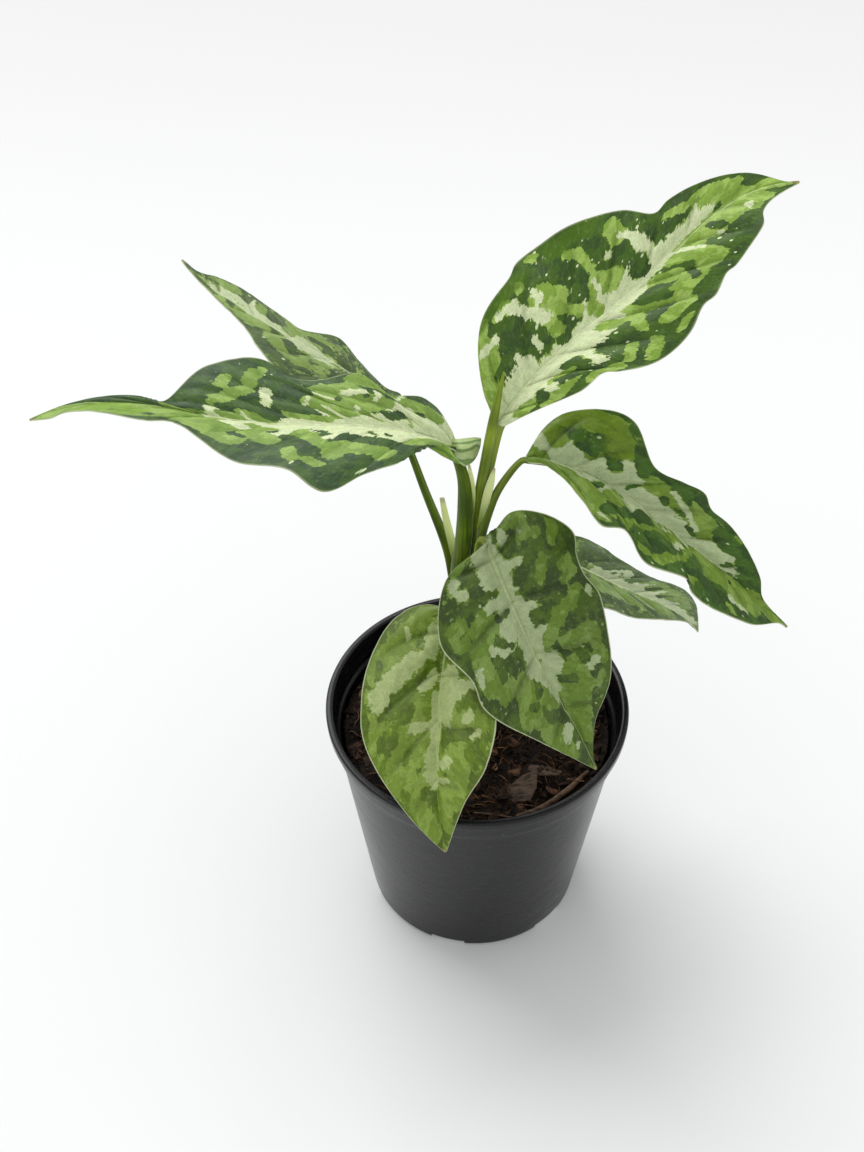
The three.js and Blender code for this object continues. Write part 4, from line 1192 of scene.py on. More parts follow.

# %% [markdown]
# At its base this leaf has two details that a single bent sheet can't have. The near margin is
# turned under, so a strip of the bright underside shows, and the far lobe is a curled ear with
# wavy stripes that ends beside the next stalk. Both are small sheets through a few given points;
# a Solidify modifier makes them about as thick as the blade.

# %% Folded margin and ear
LOBE_ROWS = 36
LOBE_COLUMNS = 18
LOBE_THICKNESS = 0.4
EAR_ROWS = [
    [(-11.9, 18.1, 226.8), (-10.5, 15.1, 224.5), (-8, 10.6, 221.9)],
    [(-8.7, 16.7, 227.9), (-7.7, 11.9, 227.1), (-6.1, 9.5, 221.7)],
    [(-5.5, 17.7, 227.5), (-4.9, 12.7, 226.8), (-4.1, 10.6, 222.1)],
    [(-2.6, 19.3, 226.5), (-2.5, 15.3, 225.8), (-2.9, 12.5, 222.1)],
    [(-0.5, 20.7, 224.9), (-0.8, 18, 223.6), (-1.9, 15.4, 221.7)],
]
FOLD_ROWS = [
    [(-19.1, 5.6, 234.5), (-19.1, 5.4, 234.3), (-19.1, 5.3, 233.9)],
    [(-16.4, 7.5, 233.4), (-16.5, 6.6, 232.5), (-16.8, 6.6, 231.1)],
    [(-13.7, 9.4, 231.1), (-14.1, 7.9, 230.2), (-14.6, 7.5, 228.4)],
    [(-11.5, 9.1, 229.7), (-11.6, 7, 229), (-11.7, 6.5, 227.4)],
    [(-9.9, 5.9, 229.6), (-9.9, 4.6, 229.1), (-9.9, 4.4, 228.1)],
    [(-8.4, 3.4, 229.1), (-8.4, 2.9, 228.9), (-8.4, 2.9, 228.6)],
]


def lobe_finish(name, pale, deep, stripes):
    paint, tree, shader = material(name, {"Specular IOR Level": 0.3, "Roughness": 0.45})
    along, out, _ = split(tree, attribute(tree, "spot"))
    wobble = noise(tree, join(tree, along * 1.4, out * 1.5), 1.0, 1.0)
    wave = ((out * stripes + wobble * 1.5) * (2 * math.pi)).sine()
    colour = blend(tree, wave.ramp(0.1, 0.6), pale, deep)
    grain = noise(tree, join(tree, along * 20.0, out * 14.0), 1.0, 2.0)
    dress(tree, shader, scaled(tree, colour, grain * 0.6 + 0.7), normal=bump(tree, grain, 0.0001, 0.5))
    return paint


def lobe(name, stations, paint):
    """A sheet through rows of three points, given from the leaf outwards."""
    u = np.linspace(0, 1, LOBE_ROWS + 1)
    v = np.linspace(0, 1, LOBE_COLUMNS + 1)
    points = np.array([through(row, v) for row in through(stations, u)]).reshape(-1, 3)
    spot = np.stack([np.repeat(u, len(v)), np.tile(v, len(u)), np.zeros(len(points))], 1)
    piece = new_piece(name, points, grid_faces(LOBE_ROWS, LOBE_COLUMNS), [paint], {"spot": spot})
    layer = piece.modifiers.new("thickness", "SOLIDIFY")
    layer.thickness = LOBE_THICKNESS * MM
    layer.offset = 0
    keep_result(piece)
    smooth(piece, 60)
    settle(piece, "leaf", "leaf_left")


EAR_PAINT = lobe_finish("ear_stripes", (0.40, 0.50, 0.21), (0.15, 0.25, 0.07), 2.8)
FOLD_PAINT = lobe_finish("fold_underside", (0.19, 0.31, 0.04), (0.11, 0.21, 0.025), 1.0)
lobe("leaf_left_ear", EAR_ROWS, EAR_PAINT)
lobe("leaf_left_fold", FOLD_ROWS, FOLD_PAINT)

# %% [markdown]
# Behind it a narrow leaf points up and away. Only its upper part shows past the long leaf.

# %% Rear left leaf
plant_leaf("leaf_rear_left", {
    "base": [-32, 42, 219], "length": 101,
    "heading": [152, 155, 145, 132], "pitch": [38, 20, 10, 17], "roll": [-15, -15, -15, -15],
    "fold": [8, 5], "arch": 0.5, "half": 25, "wave": [1.5, 3, 0.2, 0.7],
    "right": [(2, 10), (8, 7), (21, 10), (33, 15), (46, 8), (58, 9), (79, 10), (87, 7), (93, 2)],
    "left": [(3, 8), (12, 16), (26, 22), (38, 24), (50, 19), (58, 12), (66, 7.5), (82, 3)],
    "stalk": "deep", "clasp": [133, 140],
    "route": [[-9.4, 17.4, 156], [-12, 20.6, 170], [-20.5, 28, 193], [-25.6, 34, 206]],
    "breadth": [3, 2.4, 1.7, 1.3], "depth": [1.2, 1.7, 1.5, 1.2],
    "veins": [(8, 15, 0.3), (8, 15, 0.3)], "quilt": 0.9, "groove": 0.3,
    "look": {
        "seed": 3.7, "plain": -0.1, "wild": 1.8, "flecks": 0.25,
        "dark": (0.055, 0.088, 0.035), "dark_warm": (0.075, 0.12, 0.035),
        "cream": (0.45, 0.52, 0.30), "green": (0.18, 0.27, 0.06), "green_light": (0.23, 0.33, 0.09),
    },
}, {
    "cream": [
        (38, 0, 85, 0, 2.5), (35, -5, 42, -3, 2.5), (44, -7, 50, -4, 1.5), (44, 2, 70, 2, 2.5),
        (66, 12, 69, 6, 0.8), (70, 5, 80, 4, 2),
    ],
    "green": [
        (45, -12, 60, -6, 3.5), (55, -10, 75, -4, 3), (36, -17, 40, -12, 2), (38, 10, 50, 12, 3.5),
        (50, 6, 54, 3, 2), (62, 10, 64, 6, 2), (75, 11, 80, 8, 2.5),
    ],
    "dark": [
        (40, -13, 48, -8, 1.7), (53, -14, 56, -10, 1), (54, -6, 58, -3, 1.2), (72, -6, 76, -3, 1),
        (84, -4, 90, -1, 1), (36, -22, 60, -14, 1.5), (53, 12, 60, 5, 2.2), (68, 12, 71, 8, 1.8),
        (36, 8, 40, 10, 1.5),
    ],
})

# %% [markdown]
# The right leaf rises a little and then droops. Its base half is olive, its tip half darker with
# a broad greyish band, and the raised half near the stalk glows with light from behind.

# %% Right leaf
plant_leaf("leaf_right", {
    "base": [16, 15, 220], "length": 114,
    "heading": [-19, -26, -21, -26], "pitch": [13, -24, -33, -35], "roll": [-15, -15, -15, -15],
    "fold": [30, 18], "arch": 0.6, "half": 28, "wave": [2.5, 3.5, 0.2, 0.6],
    "right": [
        (2, 3), (7, 3), (26, 15), (36, 21), (44, 15), (56, 21), (71, 16), (74, 19), (100, 12), (111, 1),
    ],
    "left": [
        (4, 11), (9, 18), (18, 22.5), (28, 24), (41, 14.5), (52, 16), (61, 18), (66, 15.5), (75, 15),
        (95, 7), (100, 2),
    ],
    "stalk": "moss", "clasp": [141, -33],
    "route": [[0.9, 9.2, 164], [-0.2, 10.4, 181], [2.4, 11.7, 196], [6.6, 12.6, 209]],
    "breadth": [3, 2.5, 2, 1.2], "depth": [1.2, 1.7, 1.6, 1.1],
    "veins": [(10, 15, 0.3), (12, 15, 0.5)], "quilt": 1.4, "groove": 0.4,
    "look": {
        "seed": 4.1, "plain": -0.5, "wild": 1.9, "flecks": 0.15, "green": (0.135, 0.225, 0.020),
        "green_light": (0.19, 0.29, 0.045), "cream": (0.40, 0.47, 0.26), "rib": (0.46, 0.53, 0.28),
        "glow": (0.125, 0.20, 0.006),
    },
}, {
    "cream": [
        (4, -3, 32, -5, 4.5), (30, -5, 60, -3, 4.5), (31, -10, 40, -9, 3.5), (60, -3, 85, -3, 2.8),
        (76, -8, 82, -7, 2.5), (3, -8, 8, -8, 2.5), (12, 2, 60, 1.5, 2), (33, 13, 36, 6, 0.9),
        (42, 8, 48, 7, 2.5), (70, 3, 72, 3, 2),
    ],
    "green": [
        (0, 0, 9, 2, 6), (9, -12, 13, -8, 3), (13, -18, 22, -20, 4), (26, -18, 29, -14, 3.5),
        (27, -12, 26, -7, 2), (42, -15, 46, -12, 3.5), (47, -11, 55, -11, 2.5), (63, -14, 70, -8, 3.2),
        (58, -17, 60, -15, 1.5), (72, -16, 76, -18, 1.5), (97, -3, 104, -1, 2), (10, 8, 25, 15, 9),
        (36, 10, 42, 5, 3), (48, 13, 52, 12, 2.5), (57, 8, 64, 4, 3), (60, 15, 50, 24, 1.2),
        (70, 6, 67, 14, 1.5), (76, 11, 66, 20, 1.3), (76, 6, 95, 6, 5), (90, 2, 110, 2, 2.5),
        (75, 18, 85, 17, 1.3), (45, 22.5, 46, 22.5, 1.5), (36, 20, 44, 14, 1.5),
    ],
    "dark": [
        (15, -16, 17, -13, 1.5), (10, -9, 12, -12, 1), (24, -15, 26, -11, 1.8), (30, -11, 34, -8, 2.2),
        (20, -10, 26, -8, 1.2), (43, -7, 44, -3.5, 1.1), (34, -18, 39, -13, 1.5), (52, -10, 54, -8, 1),
        (66, -7, 69, -5, 1.1), (72, -14, 78, -11, 3.5), (85, -10, 94, -4, 2), (84, -5, 85, -3, 0.8),
        (20, -20, 24, -19.5, 0.8), (40, -19, 60, -21, 3), (33, 6, 35, 3.5, 1), (28, 21, 33, 15, 1.8),
        (40, 14, 44, 10, 1.5), (48, 9, 52, 5, 2.2), (46, 18, 56, 14, 3.5), (57, 16, 65, 9, 1.3),
        (68, 15, 73, 8, 2.3), (72, 16, 82, 13, 2), (88, 5, 89, 3, 0.7), (70, 21, 80, 18, 2),
    ],
    "cream late": [
        (24, 6, 31, 3, 1), (43, 5, 50, 2, 1.2), (56, 6, 64, 3, 0.9), (31, 9, 36, 5, 0.7),
        (51, -14, 58, -12, 0.9), (59, -12, 68, -7, 0.9), (66, 7, 62, 10, 0.8), (85, 13, 92, 12, 0.9),
        (27, 23, 28, 23, 1.2),
    ],
    "glow": [(9, -12, 13, -8, 3), (13, -18, 22, -20, 4), (26, -18, 29, -14, 3.5)],
})

# %% [markdown]
# A small leaf hangs under it, striped more than blotched.

# %% Rear right leaf
plant_leaf("leaf_rear_right", {
    "base": [23, 24, 164], "length": 82,
    "heading": [4, 2, 6, -3], "pitch": [-24, -35, -34, -54], "roll": [0, 0, 0, 0],
    "fold": [15, 10], "arch": 0.8, "half": 20, "wave": [1, 3, 0.2, 0.7],
    "right": [(0, 14), (10, 22), (25, 20), (54, 12), (76, 0.6)],
    "left": [(3, 8), (9, 12), (29, 17), (39, 14), (60, 13), (78, 15)],
    "clasp": [115, 24], "route": [[9, 15.2, 136], [12.2, 19.6, 153], [16.4, 23, 164.4]],
    "breadth": [2.8, 2.2, 1.6, 1.2], "depth": [1.2, 1.6, 1.5, 1.1],
    "veins": [(8, 14, 0.4), (8, 14, 0.4)], "quilt": 0.9, "groove": 0.3,
    "look": {
        "seed": 5.9, "plain": -0.2, "fray": 0.8,
        "dark": (0.052, 0.090, 0.025), "dark_warm": (0.07, 0.12, 0.028),
        "green": (0.15, 0.23, 0.05), "green_light": (0.19, 0.28, 0.08), "cream": (0.43, 0.49, 0.30),
    },
}, {
    "cream": [
        (30, -3, 75, -2, 2.8), (38, -12, 36, -6, 1.8), (45, -7, 55, -6, 2), (40, -16, 38, -12, 0.8),
        (34, 6, 36, 3, 0.8), (42, 4, 43, 1, 0.8),
    ],
    "green": [(50, -12, 65, -10, 5), (30, 8, 60, 4, 4)],
    "dark": [
        (19, -12, 20, -9, 1.8), (24, -14, 32, -8, 3), (33, -8, 35, -11, 2), (43, -7, 46, -14, 2),
        (30, -18, 45, -16, 2), (54, -13, 51, -7, 0.9), (62, -9, 58, -4, 0.7), (50, 12, 44, 5, 0.9),
    ],
    "cream late": [
        (37, -15, 33, -6, 0.7), (50, -13, 47, -6, 0.8), (58, -11, 55, -5, 0.7), (66, -7, 63, -3, 0.6),
        (40, -10, 38, -5, 0.7),
    ],
})

# %% [markdown]
# The broad front leaf and the one over the rim are the closest to us. Both are strongly quilted
# and have a clear pale rim. This one's cream runs as a ragged band beside the midrib, and a few
# cream islands lie near its margin.

# %% Front leaf
plant_leaf("leaf_front", {
    "base": [2, 2, 190], "length": 94,
    "heading": [-64, -55, -43, -44], "pitch": [-25, -43, -49, -60], "roll": [-15, -15, -15, -15],
    "fold": [15, 10], "arch": 0.6, "half": 32, "wave": [1.5, 2.5, 0.1, 0.6],
    "right": [(7, 20), (26, 31), (41, 27), (50, 28), (71, 16)],
    "left": [
        (-7, 13), (-1, 24), (9, 30.5), (17, 28), (24, 27.5), (34, 30), (51, 27), (67, 19), (77, 7), (88, 1),
    ],
    "clasp": [124, -84], "route": [[-1.4, 2.6, 146], [-2, 3.2, 166], [-1.6, 4.6, 182], [-0.4, 5.2, 189.6]],
    "breadth": [3, 2.4, 1.8, 1.4], "depth": [1.2, 1.7, 1.5, 1.2],
    "veins": [(10, 20, 0), (10, 20, 0.05)], "quilt": 2.6, "groove": 0.6, "rib_shift": 1.7,
    "look": {
        "seed": 6.2, "plain": -0.45, "flecks": 0.1, "dark": (0.040, 0.072, 0.012),
        "dark_warm": (0.065, 0.115, 0.012), "green": (0.12, 0.20, 0.022), "green_light": (0.17, 0.26, 0.05),
        "cream": (0.36, 0.43, 0.23), "rib": (0.42, 0.49, 0.25),
        "edge_share": 0.9, "painted_crease_shade": 0.28, "silver": 0.15, "fray": 0.7,
    },
}, {
    "cream": [
        (2, -1, 62, -1, 2), (18, -8, 17, -2, 1.5), (33, -6, 34, -2, 1.2), (42, -6, 46, -2, 1.8),
        (53, -5, 58, -3, 2.5), (62, -4, 63, -1, 1), (6, -8, 8, -6, 1.3), (9, -14, 11, -14, 1),
        (4, 4, 30, 4, 4.4), (32, 4, 64, 3, 2.6), (33, 7, 37, 9, 2.5), (25, 8, 26, 15, 1.2),
        (36, 8, 38, 10, 2.2), (40, 11, 36, 17, 1.1), (34, 20, 35, 18, 1), (12, 17, 14, 19, 1.5),
        (17, 18, 18, 16, 1), (51, 8, 52, 10, 1),
    ],
    "green": [
        (15, -25, 18, -22, 1.5), (14, -19, 12, -13, 1.2), (24, -24, 25, -21, 1.2), (27, -24, 29, -20, 1.2),
        (21, -16, 26, -12, 1.5), (32, -23, 38, -14, 1.4), (38, -13, 47, -5, 1.8), (45, -22, 48, -12, 2.6),
        (46, -23, 55, -22, 2), (60, -19, 63, -16, 1), (55, -11, 62, -12, 2), (60, -9, 72, -4, 4.5),
        (68, -3, 80, -2, 3), (5, -12, 8, -17, 2.5), (30, 12, 33, 20, 2.5), (26, 14, 28, 19, 1.5),
        (34, 22, 42, 24, 3.5), (52, 12, 58, 18, 3.5), (60, 8, 66, 6, 2.5), (70, 10, 80, 8, 3),
        (62, 14, 72, 13, 3), (24, 22, 24, 27, 1.5), (28, 27, 29, 24, 1.5), (3, 9, 8, 15, 2),
        (48, 17, 47, 22, 2),
    ],
    "dark": [
        (60, -8, 60, -4, 1.7), (31, 4, 31, 9, 1), (23, 6, 22, 9, 1.2), (37, 12, 39, 10, 1.2),
        (66, 8, 68, 5, 1.6), (56, 8, 57, 9, 1), (57, 15, 58, 14, 1.4), (62, 11, 66, 10, 1.2),
        (78, 4, 79, 4, 1.2),
    ],
    "cream late": [
        (55, -19, 57, -16, 1.4), (33, -27, 34, -27, 1.2), (37.5, 25.5, 38.5, 26, 1.6), (75, 4, 75, 7, 1.8),
        (80, 4, 81, 4, 0.8),
    ],
})

# %% [markdown]
# The leaf over the rim has soft, low contrasts and much yellow-green, so its dark and its green are
# close together. Its tip hangs over the pot's lip.

# %% Leaf over the rim
plant_leaf("leaf_front_left", {
    "base": [-11, 0, 149], "length": 89,
    "heading": [-98, -96, -89, -73], "pitch": [4, -20, -37, -50], "roll": [-15, -15, -15, -15],
    "fold": [28, 20], "arch": 0.6, "half": 26, "wave": [1.2, 2.5, 0.3, 0.8],
    "right": [(-9, 5), (-6, 15.5), (16, 27.2), (37, 28.5), (49, 27.5), (72, 13)],
    "left": [(0, 5), (15, 15), (42, 25), (58, 21), (71, 11)],
    "clasp": [108, -155], "route": [[-10.4, 6.6, 128], [-11.6, 8, 141], [-11, 6.2, 148]],
    "breadth": [2.8, 2.2, 1.6, 1.3], "depth": [1.2, 1.6, 1.5, 1.2],
    "veins": [(12, 18.5, -0.35), (9, 19, 0.7)], "quilt": 2.4, "groove": 0.4,
    "look": {
        "seed": 7.4, "plain": -0.25, "dark": (0.085, 0.135, 0.012), "dark_warm": (0.11, 0.18, 0.012),
        "green": (0.165, 0.25, 0.028), "green_light": (0.215, 0.31, 0.05), "cream": (0.40, 0.48, 0.20),
        "rib": (0.40, 0.48, 0.22), "edge_share": 0.9, "painted_crease_shade": 0.2, "silver": 0.2, "fray": 0.4,
    },
}, {
    "green": [
        (50, -14, 66, -8, 5), (60, -5, 78, -3, 3), (38, -22, 44, -12, 2.5), (8, 12, 14, 13, 3),
        (40, 6, 56, 7, 4), (20, 16, 30, 24, 4), (50, 12, 62, 17, 3.5), (44, 23, 50, 24, 2.5),
        (60, 11, 63, 11, 2), (65, 7, 66, 9, 1.5), (70, 9, 82, 3, 2.5),
    ],
    "dark": [
        (45, -15, 50, -6, 1.8), (43, -18, 45, -15, 1.5), (29, -3, 30, -9, 1.2), (62, -6, 63, -5, 1),
        (50, -18, 48, -23, 2), (32, -18, 33, -17, 1.5), (29, 3, 30, 6, 1.3), (22, 6, 24, 9, 1),
        (33, 8, 40, 18, 1.6), (43, 11, 45, 12, 2.2), (55, 11, 57, 12, 1.5), (42, 20, 43, 22, 1.5),
        (50, 16, 51, 16, 1.3), (70, 3, 69, 6, 1.3), (28, 24, 33, 23, 1.5), (50, 22, 51, 22, 1.2),
    ],
    "cream": [
        (26, -4, 26, -7, 1.5), (28, -18, 30, -12, 1.5), (31, -13, 36, -10, 1.8), (31, -5, 42, -4, 4.5),
        (38, -18, 41, -15, 1.4), (41, -22, 45, -18, 0.8), (56, -9, 60, -4, 1.3), (63, -7, 66, -2, 0.9),
        (48, -1, 62, -1, 1.0), (27, 11, 38, 23, 3.2), (12, 6, 22, 6, 2.5), (30, 3, 36, 7, 1.8),
        (48, 4, 48, 10, 1.4), (58, 3, 64, 3, 2.0), (17, 16, 19, 15, 0.8), (38, 2, 68, 1, 1.2),
    ],
})

# %% [markdown]
# ## Rods along a path
#
# The stem and the twigs are rods: round, a little uneven, some with rings. Each follows a path, so
# one Geometry Nodes tree makes them all: the path becomes a curve, a circle is swept along it at
# the thickness stored on the path, and the skin is then moved by noise and by rings.

# %% Rod tree
def rod_tree():
    tree, given = geometry_tree("Rod along a path", {
        "Sides": "count", "Steps": "count", "Ring pitch": "number", "Ring depth": "number",
        "Knobs": "number", "Knob size": "number", "Seed": "number",
    })
    curve = add(tree, "GeometryNodeMeshToCurve", {"Mesh": given["Geometry"]}).outputs[0]
    even = add(tree, "GeometryNodeResampleCurve", {"Curve": curve, "Count": given["Steps"]}).outputs[0]
    along = add(tree, "GeometryNodeSplineParameter").outputs["Length"]
    marked = add(tree, "GeometryNodeStoreNamedAttribute", {
        "Geometry": even, "Name": "run", "Value": along,
    }, data_type="FLOAT", domain="POINT").outputs[0]
    circle = add(tree, "GeometryNodeCurvePrimitiveCircle", {"Resolution": given["Sides"], "Radius": 1.0})
    swept = add(tree, "GeometryNodeCurveToMesh", {
        "Curve": marked, "Profile Curve": circle.outputs[0],
        "Scale": stored(tree, "girth"), "Fill Caps": True,
    }).outputs[0]
    run = Number(tree, stored(tree, "run"))
    ring = (((run / given["Ring pitch"]) * math.pi).sine() ** 2.0).ramp(0.9, 1.0)
    knobs = noise(tree, seeded_place(tree, given["Seed"]), given["Knob size"], 3.0) - 0.5
    height = knobs * given["Knobs"] - ring * given["Ring depth"]
    moved = push(tree, swept, scaled(tree, field(tree, "Normal"), height))
    geometry_out(tree, moved, given["Material"])
    return tree


ROD = rod_tree()
print("tree:", ROD.name, "nodes:", len(ROD.nodes))

# %% [markdown]
# `make_rod` gives the tree its path: a line of bare edges with a thickness stored on each point.
# The result is kept as a mesh, and the line is gone.

# %% Making a rod
def make_rod(name, path, girths, paint, **sizes):
    """A rod along a path in millimetres; sizes are the tree's inputs."""
    mesh = bpy.data.meshes.new(name)
    edges = [(i, i + 1) for i in range(len(path) - 1)]
    mesh.from_pydata(np.asarray(path, float) * MM, edges, [])
    girth = mesh.attributes.new("girth", "FLOAT", "POINT")
    girth.data.foreach_set("value", np.asarray(girths, np.float32) * MM)
    line = show(name, mesh)
    plain = {"Ring pitch": 1.0, "Ring depth": 0.0, "Knobs": 0.0, "Knob size": 400.0}
    run_tree(line, ROD, {**plain, **sizes, "Material": paint})
    keep_result(line)
    smooth(line, 60)
    return line


print("rods ready")

# %% [markdown]
# ## Stem
#
# The stem is short and mostly hidden: olive green above, brown below, ringed by the scars of
# leaves that have gone.

# %% Stem
def stem_finish():
    paint, tree, shader = material("stem_skin", {"Specular IOR Level": 0.4})
    place = object_place(tree)
    _, _, height = split(tree, place)
    cloud = noise(tree, place, 220.0, 3.0)
    lines = streaks(tree, place, 900.0, 60.0, 1.0)
    older = (height * -1.0 + (cloud * 0.03 + 0.115)).ramp(-0.015, 0.015)
    colour = blend(tree, older, (0.075, 0.11, 0.028), (0.11, 0.085, 0.045))
    normal = bump(tree, lines, 0.0003, 0.6)
    dress(tree, shader, scaled(tree, colour, lines * 0.8 + 0.6), cloud * 0.2 + 0.42, normal)
    return paint


stem_heights = np.linspace(STEM_FOOT_Z - 1, STEM_TIP_Z, 30)
stem_girths = stem_radius(stem_heights)
stem_girths[-2:] = [2.9, 1.4]
stem = make_rod("stem_skin", stem_axis(stem_heights), stem_girths, stem_finish(), **{
    "Sides": 48, "Steps": 200, "Ring pitch": 8.5 * MM, "Ring depth": 0.4 * MM, "Knobs": 0.4 * MM,
})
settle(stem, "stalk", "stem")

# %% [markdown]
# ## The new leaf
#
# The youngest leaf is still rolled up into a spear: one sheet wound round itself, so its section
# is a spiral with a step, and the step climbs slowly round the spear.

# %% New leaf
SPEAR_STEPS = 120
SPEAR_SIDES = 48


def spear_rings():
    route = [
        [-2.7, 15.6, 165], [-2.3, 15.6, 184], [-1, 14.8, 203],
        [1.2, 13.6, 222], [3.9, 13, 244], [6.5, 13, 261],
    ]
    path = wire(route, SPEAR_STEPS)
    t = np.linspace(0, 1, SPEAR_STEPS + 1)
    radius = through([1.5, 1.6, 1.7, 1.8, 1.6, 0.35], t)
    along = unit(np.gradient(path, axis=0))
    side = unit(np.cross(along, np.array([0.0, 1.0, 0.0])))
    up = np.cross(side, along)
    turn = full_turn(SPEAR_SIDES)
    lap = ((turn[None] / (2 * np.pi) + 0.35 * t[:, None] + 0.1) % 1.0)
    step = 1 + 0.16 * (lap - 0.5) * smoothstep(t, 0, 0.2)[:, None]
    reach = radius[:, None] * step
    wide = (reach * np.cos(turn))[..., None] * side[:, None]
    high = (reach * np.sin(turn))[..., None] * up[:, None]
    return path[:, None] + wide + high


SPEAR_PAINT = stalk_finish("new_leaf_skin", (0.10, 0.155, 0.012), (0.25, 0.34, 0.03), (0.34, 0.42, 0.09))
spear = skin("new_leaf_roll", spear_rings(), SPEAR_PAINT)
settle(spear, "young_leaf", "new_leaf")

# %% [markdown]
# ## Pale sheath wings
#
# The sheath at the foot of a stalk ends in a free tongue: thin, pale and almost without green,
# because it never has to catch light. Each is a narrow curved strip along its own short path, and
# light goes a little way into it.

# %% Sheath wings
WING_STEPS = 40
WING_SIDES = 24
WINGS = {
    "sheath_wing_left": {
        "facing": 75, "breadth": [1.2, 1.6, 1.5, 1.0],
        "route": [[-8.8, 16.2, 165], [-10.6, 18.4, 176], [-12.6, 20.8, 185], [-14.2, 23.3, 193.4]],
    },
    "sheath_wing_right": {
        "facing": 90, "breadth": [0.7, 1.2, 1.6, 1.4, 0.5],
        "route": [
            [-0.9, 10.3, 191], [0.8, 11.1, 199], [2.1, 11.7, 206], [3.3, 12, 212.8], [4.2, 12.2, 218],
        ],
    },
    "sheath_wing_crown": {
        "facing": 90, "breadth": [0.7, 1.0, 1.0, 0.5],
        "route": [[-3.4, 12.2, 194], [-3.2, 12.6, 202], [-3.5, 13, 210], [-4.7, 14, 218]],
    },
}


def wing_finish():
    paint, tree, shader = material("sheath_skin", {
        "Roughness": 0.45, "Subsurface Weight": 0.3, "Subsurface Scale": 0.003,
        "Subsurface Radius": (0.8, 1.0, 0.4),
    })
    run, turn, _ = split(tree, attribute(tree, "spot"))
    lines = streaks(tree, join(tree, turn * 20.0, run * 2.0), 1.0, 1.0, 8.0)
    colour = blend(tree, run.ramp(0.0, 0.65), (0.15, 0.24, 0.015), (0.66, 0.75, 0.32))
    colour = blend(tree, run.ramp(0.88, 1.0), colour, (0.40, 0.36, 0.25))
    dress(tree, shader, scaled(tree, colour, lines * 0.4 + 0.8), normal=bump(tree, lines, 0.0002, 0.6))
    return paint


def wing_rings(spec):
    """A thin curved strip, bowed away from the stalk it belongs to."""
    path = wire(spec["route"], WING_STEPS)
    t = np.linspace(0, 1, WING_STEPS + 1)
    facing = math.radians(spec["facing"])
    outward = np.array([math.cos(facing), math.sin(facing), 0.0])
    across = unit(np.cross(unit(np.gradient(path, axis=0)), outward))
    breadth = through(spec["breadth"], t)[:, None]
    turn = full_turn(WING_SIDES)
    place = np.cos(turn)[None]
    bow = 0.35 * breadth * (1 - place ** 2) + 0.3 * np.sin(turn)[None]
    return path[:, None] + (breadth * place)[..., None] * across[:, None] + bow[..., None] * outward


WING_PAINT = wing_finish()
for wing_name, wing_spec in WINGS.items():
    wing = skin(wing_name + "_skin", wing_rings(wing_spec), WING_PAINT)
    settle(wing, "sheath", wing_name)

# %% [markdown]
# ## The pot
#
# A blow-moulded nursery pot is a body of revolution: a tapered wall, a wider band under the lip, a
# rolled lip, and a foot ring with drain holes and notches. Its outline is a list of corners, each
# with the radius it is rounded to.

# %% The pot's outline
POT_CORNERS = [                  # radius, height, rounding, from the middle of the foot outwards
    (0, 0, 0), (20, 0, 0.5), (22, 2, 0.8), (38.5, 2, 0.8), (39.9, 0, 0.5), (42.7, 0, 0.5),
    (43.5, 1, 0.5), (55.9, 91.6, 1.0), (57.5, 93, 1.0), (58.5, 100.5, 0.5), (59.7, 100.8, 0.5),
    (60, 105, 1.7), (57, 105, 1.2), (56.9, 102.4, 0.4), (55.9, 93.6, 0.6), (54.3, 92, 0.7),
    (41.9, 5.1, 1.2), (40.4, 3.6, 0.5), (21, 3.6, 0.5), (19, 1.6, 0.5), (0, 1.6, 0),
]
CORNER_STEPS = 5
LONGEST_STEP = 3.0


def rounded(corners):
    """The outline with its corners rounded and its straight runs split into short steps."""
    path = [np.array(corners[0][:2], float)]
    for before, corner, after in zip(corners, corners[1:], corners[2:]):
        here = np.array(corner[:2], float)
        back = np.array(before[:2]) - here
        ahead = np.array(after[:2]) - here
        reach = min(corner[2], 0.45 * np.linalg.norm(back), 0.45 * np.linalg.norm(ahead))
        start = here + unit(back) * reach
        end = here + unit(ahead) * reach
        for k in range(CORNER_STEPS + 1):
            t = k / CORNER_STEPS
            path.append((1 - t) ** 2 * start + 2 * t * (1 - t) * here + t ** 2 * end)
    path.append(np.array(corners[-1][:2], float))
    fine = [path[0]]
    for a, b in zip(path, path[1:]):
        steps = max(1, int(np.ceil(np.linalg.norm(b - a) / LONGEST_STEP)))
        fine.extend(a + (b - a) * k / steps for k in range(1, steps + 1))
    return np.array(fine)


pot_outline = rounded(POT_CORNERS)
print("outline points:", len(pot_outline))

# %% [markdown]
# A Geometry Nodes tree wraps a grid round the axis, reading radius and height from that outline, so
# the number of sides is one input. A Screw modifier could turn it too; the tree also closes the
# seam and the poles, where points of the grid meet.

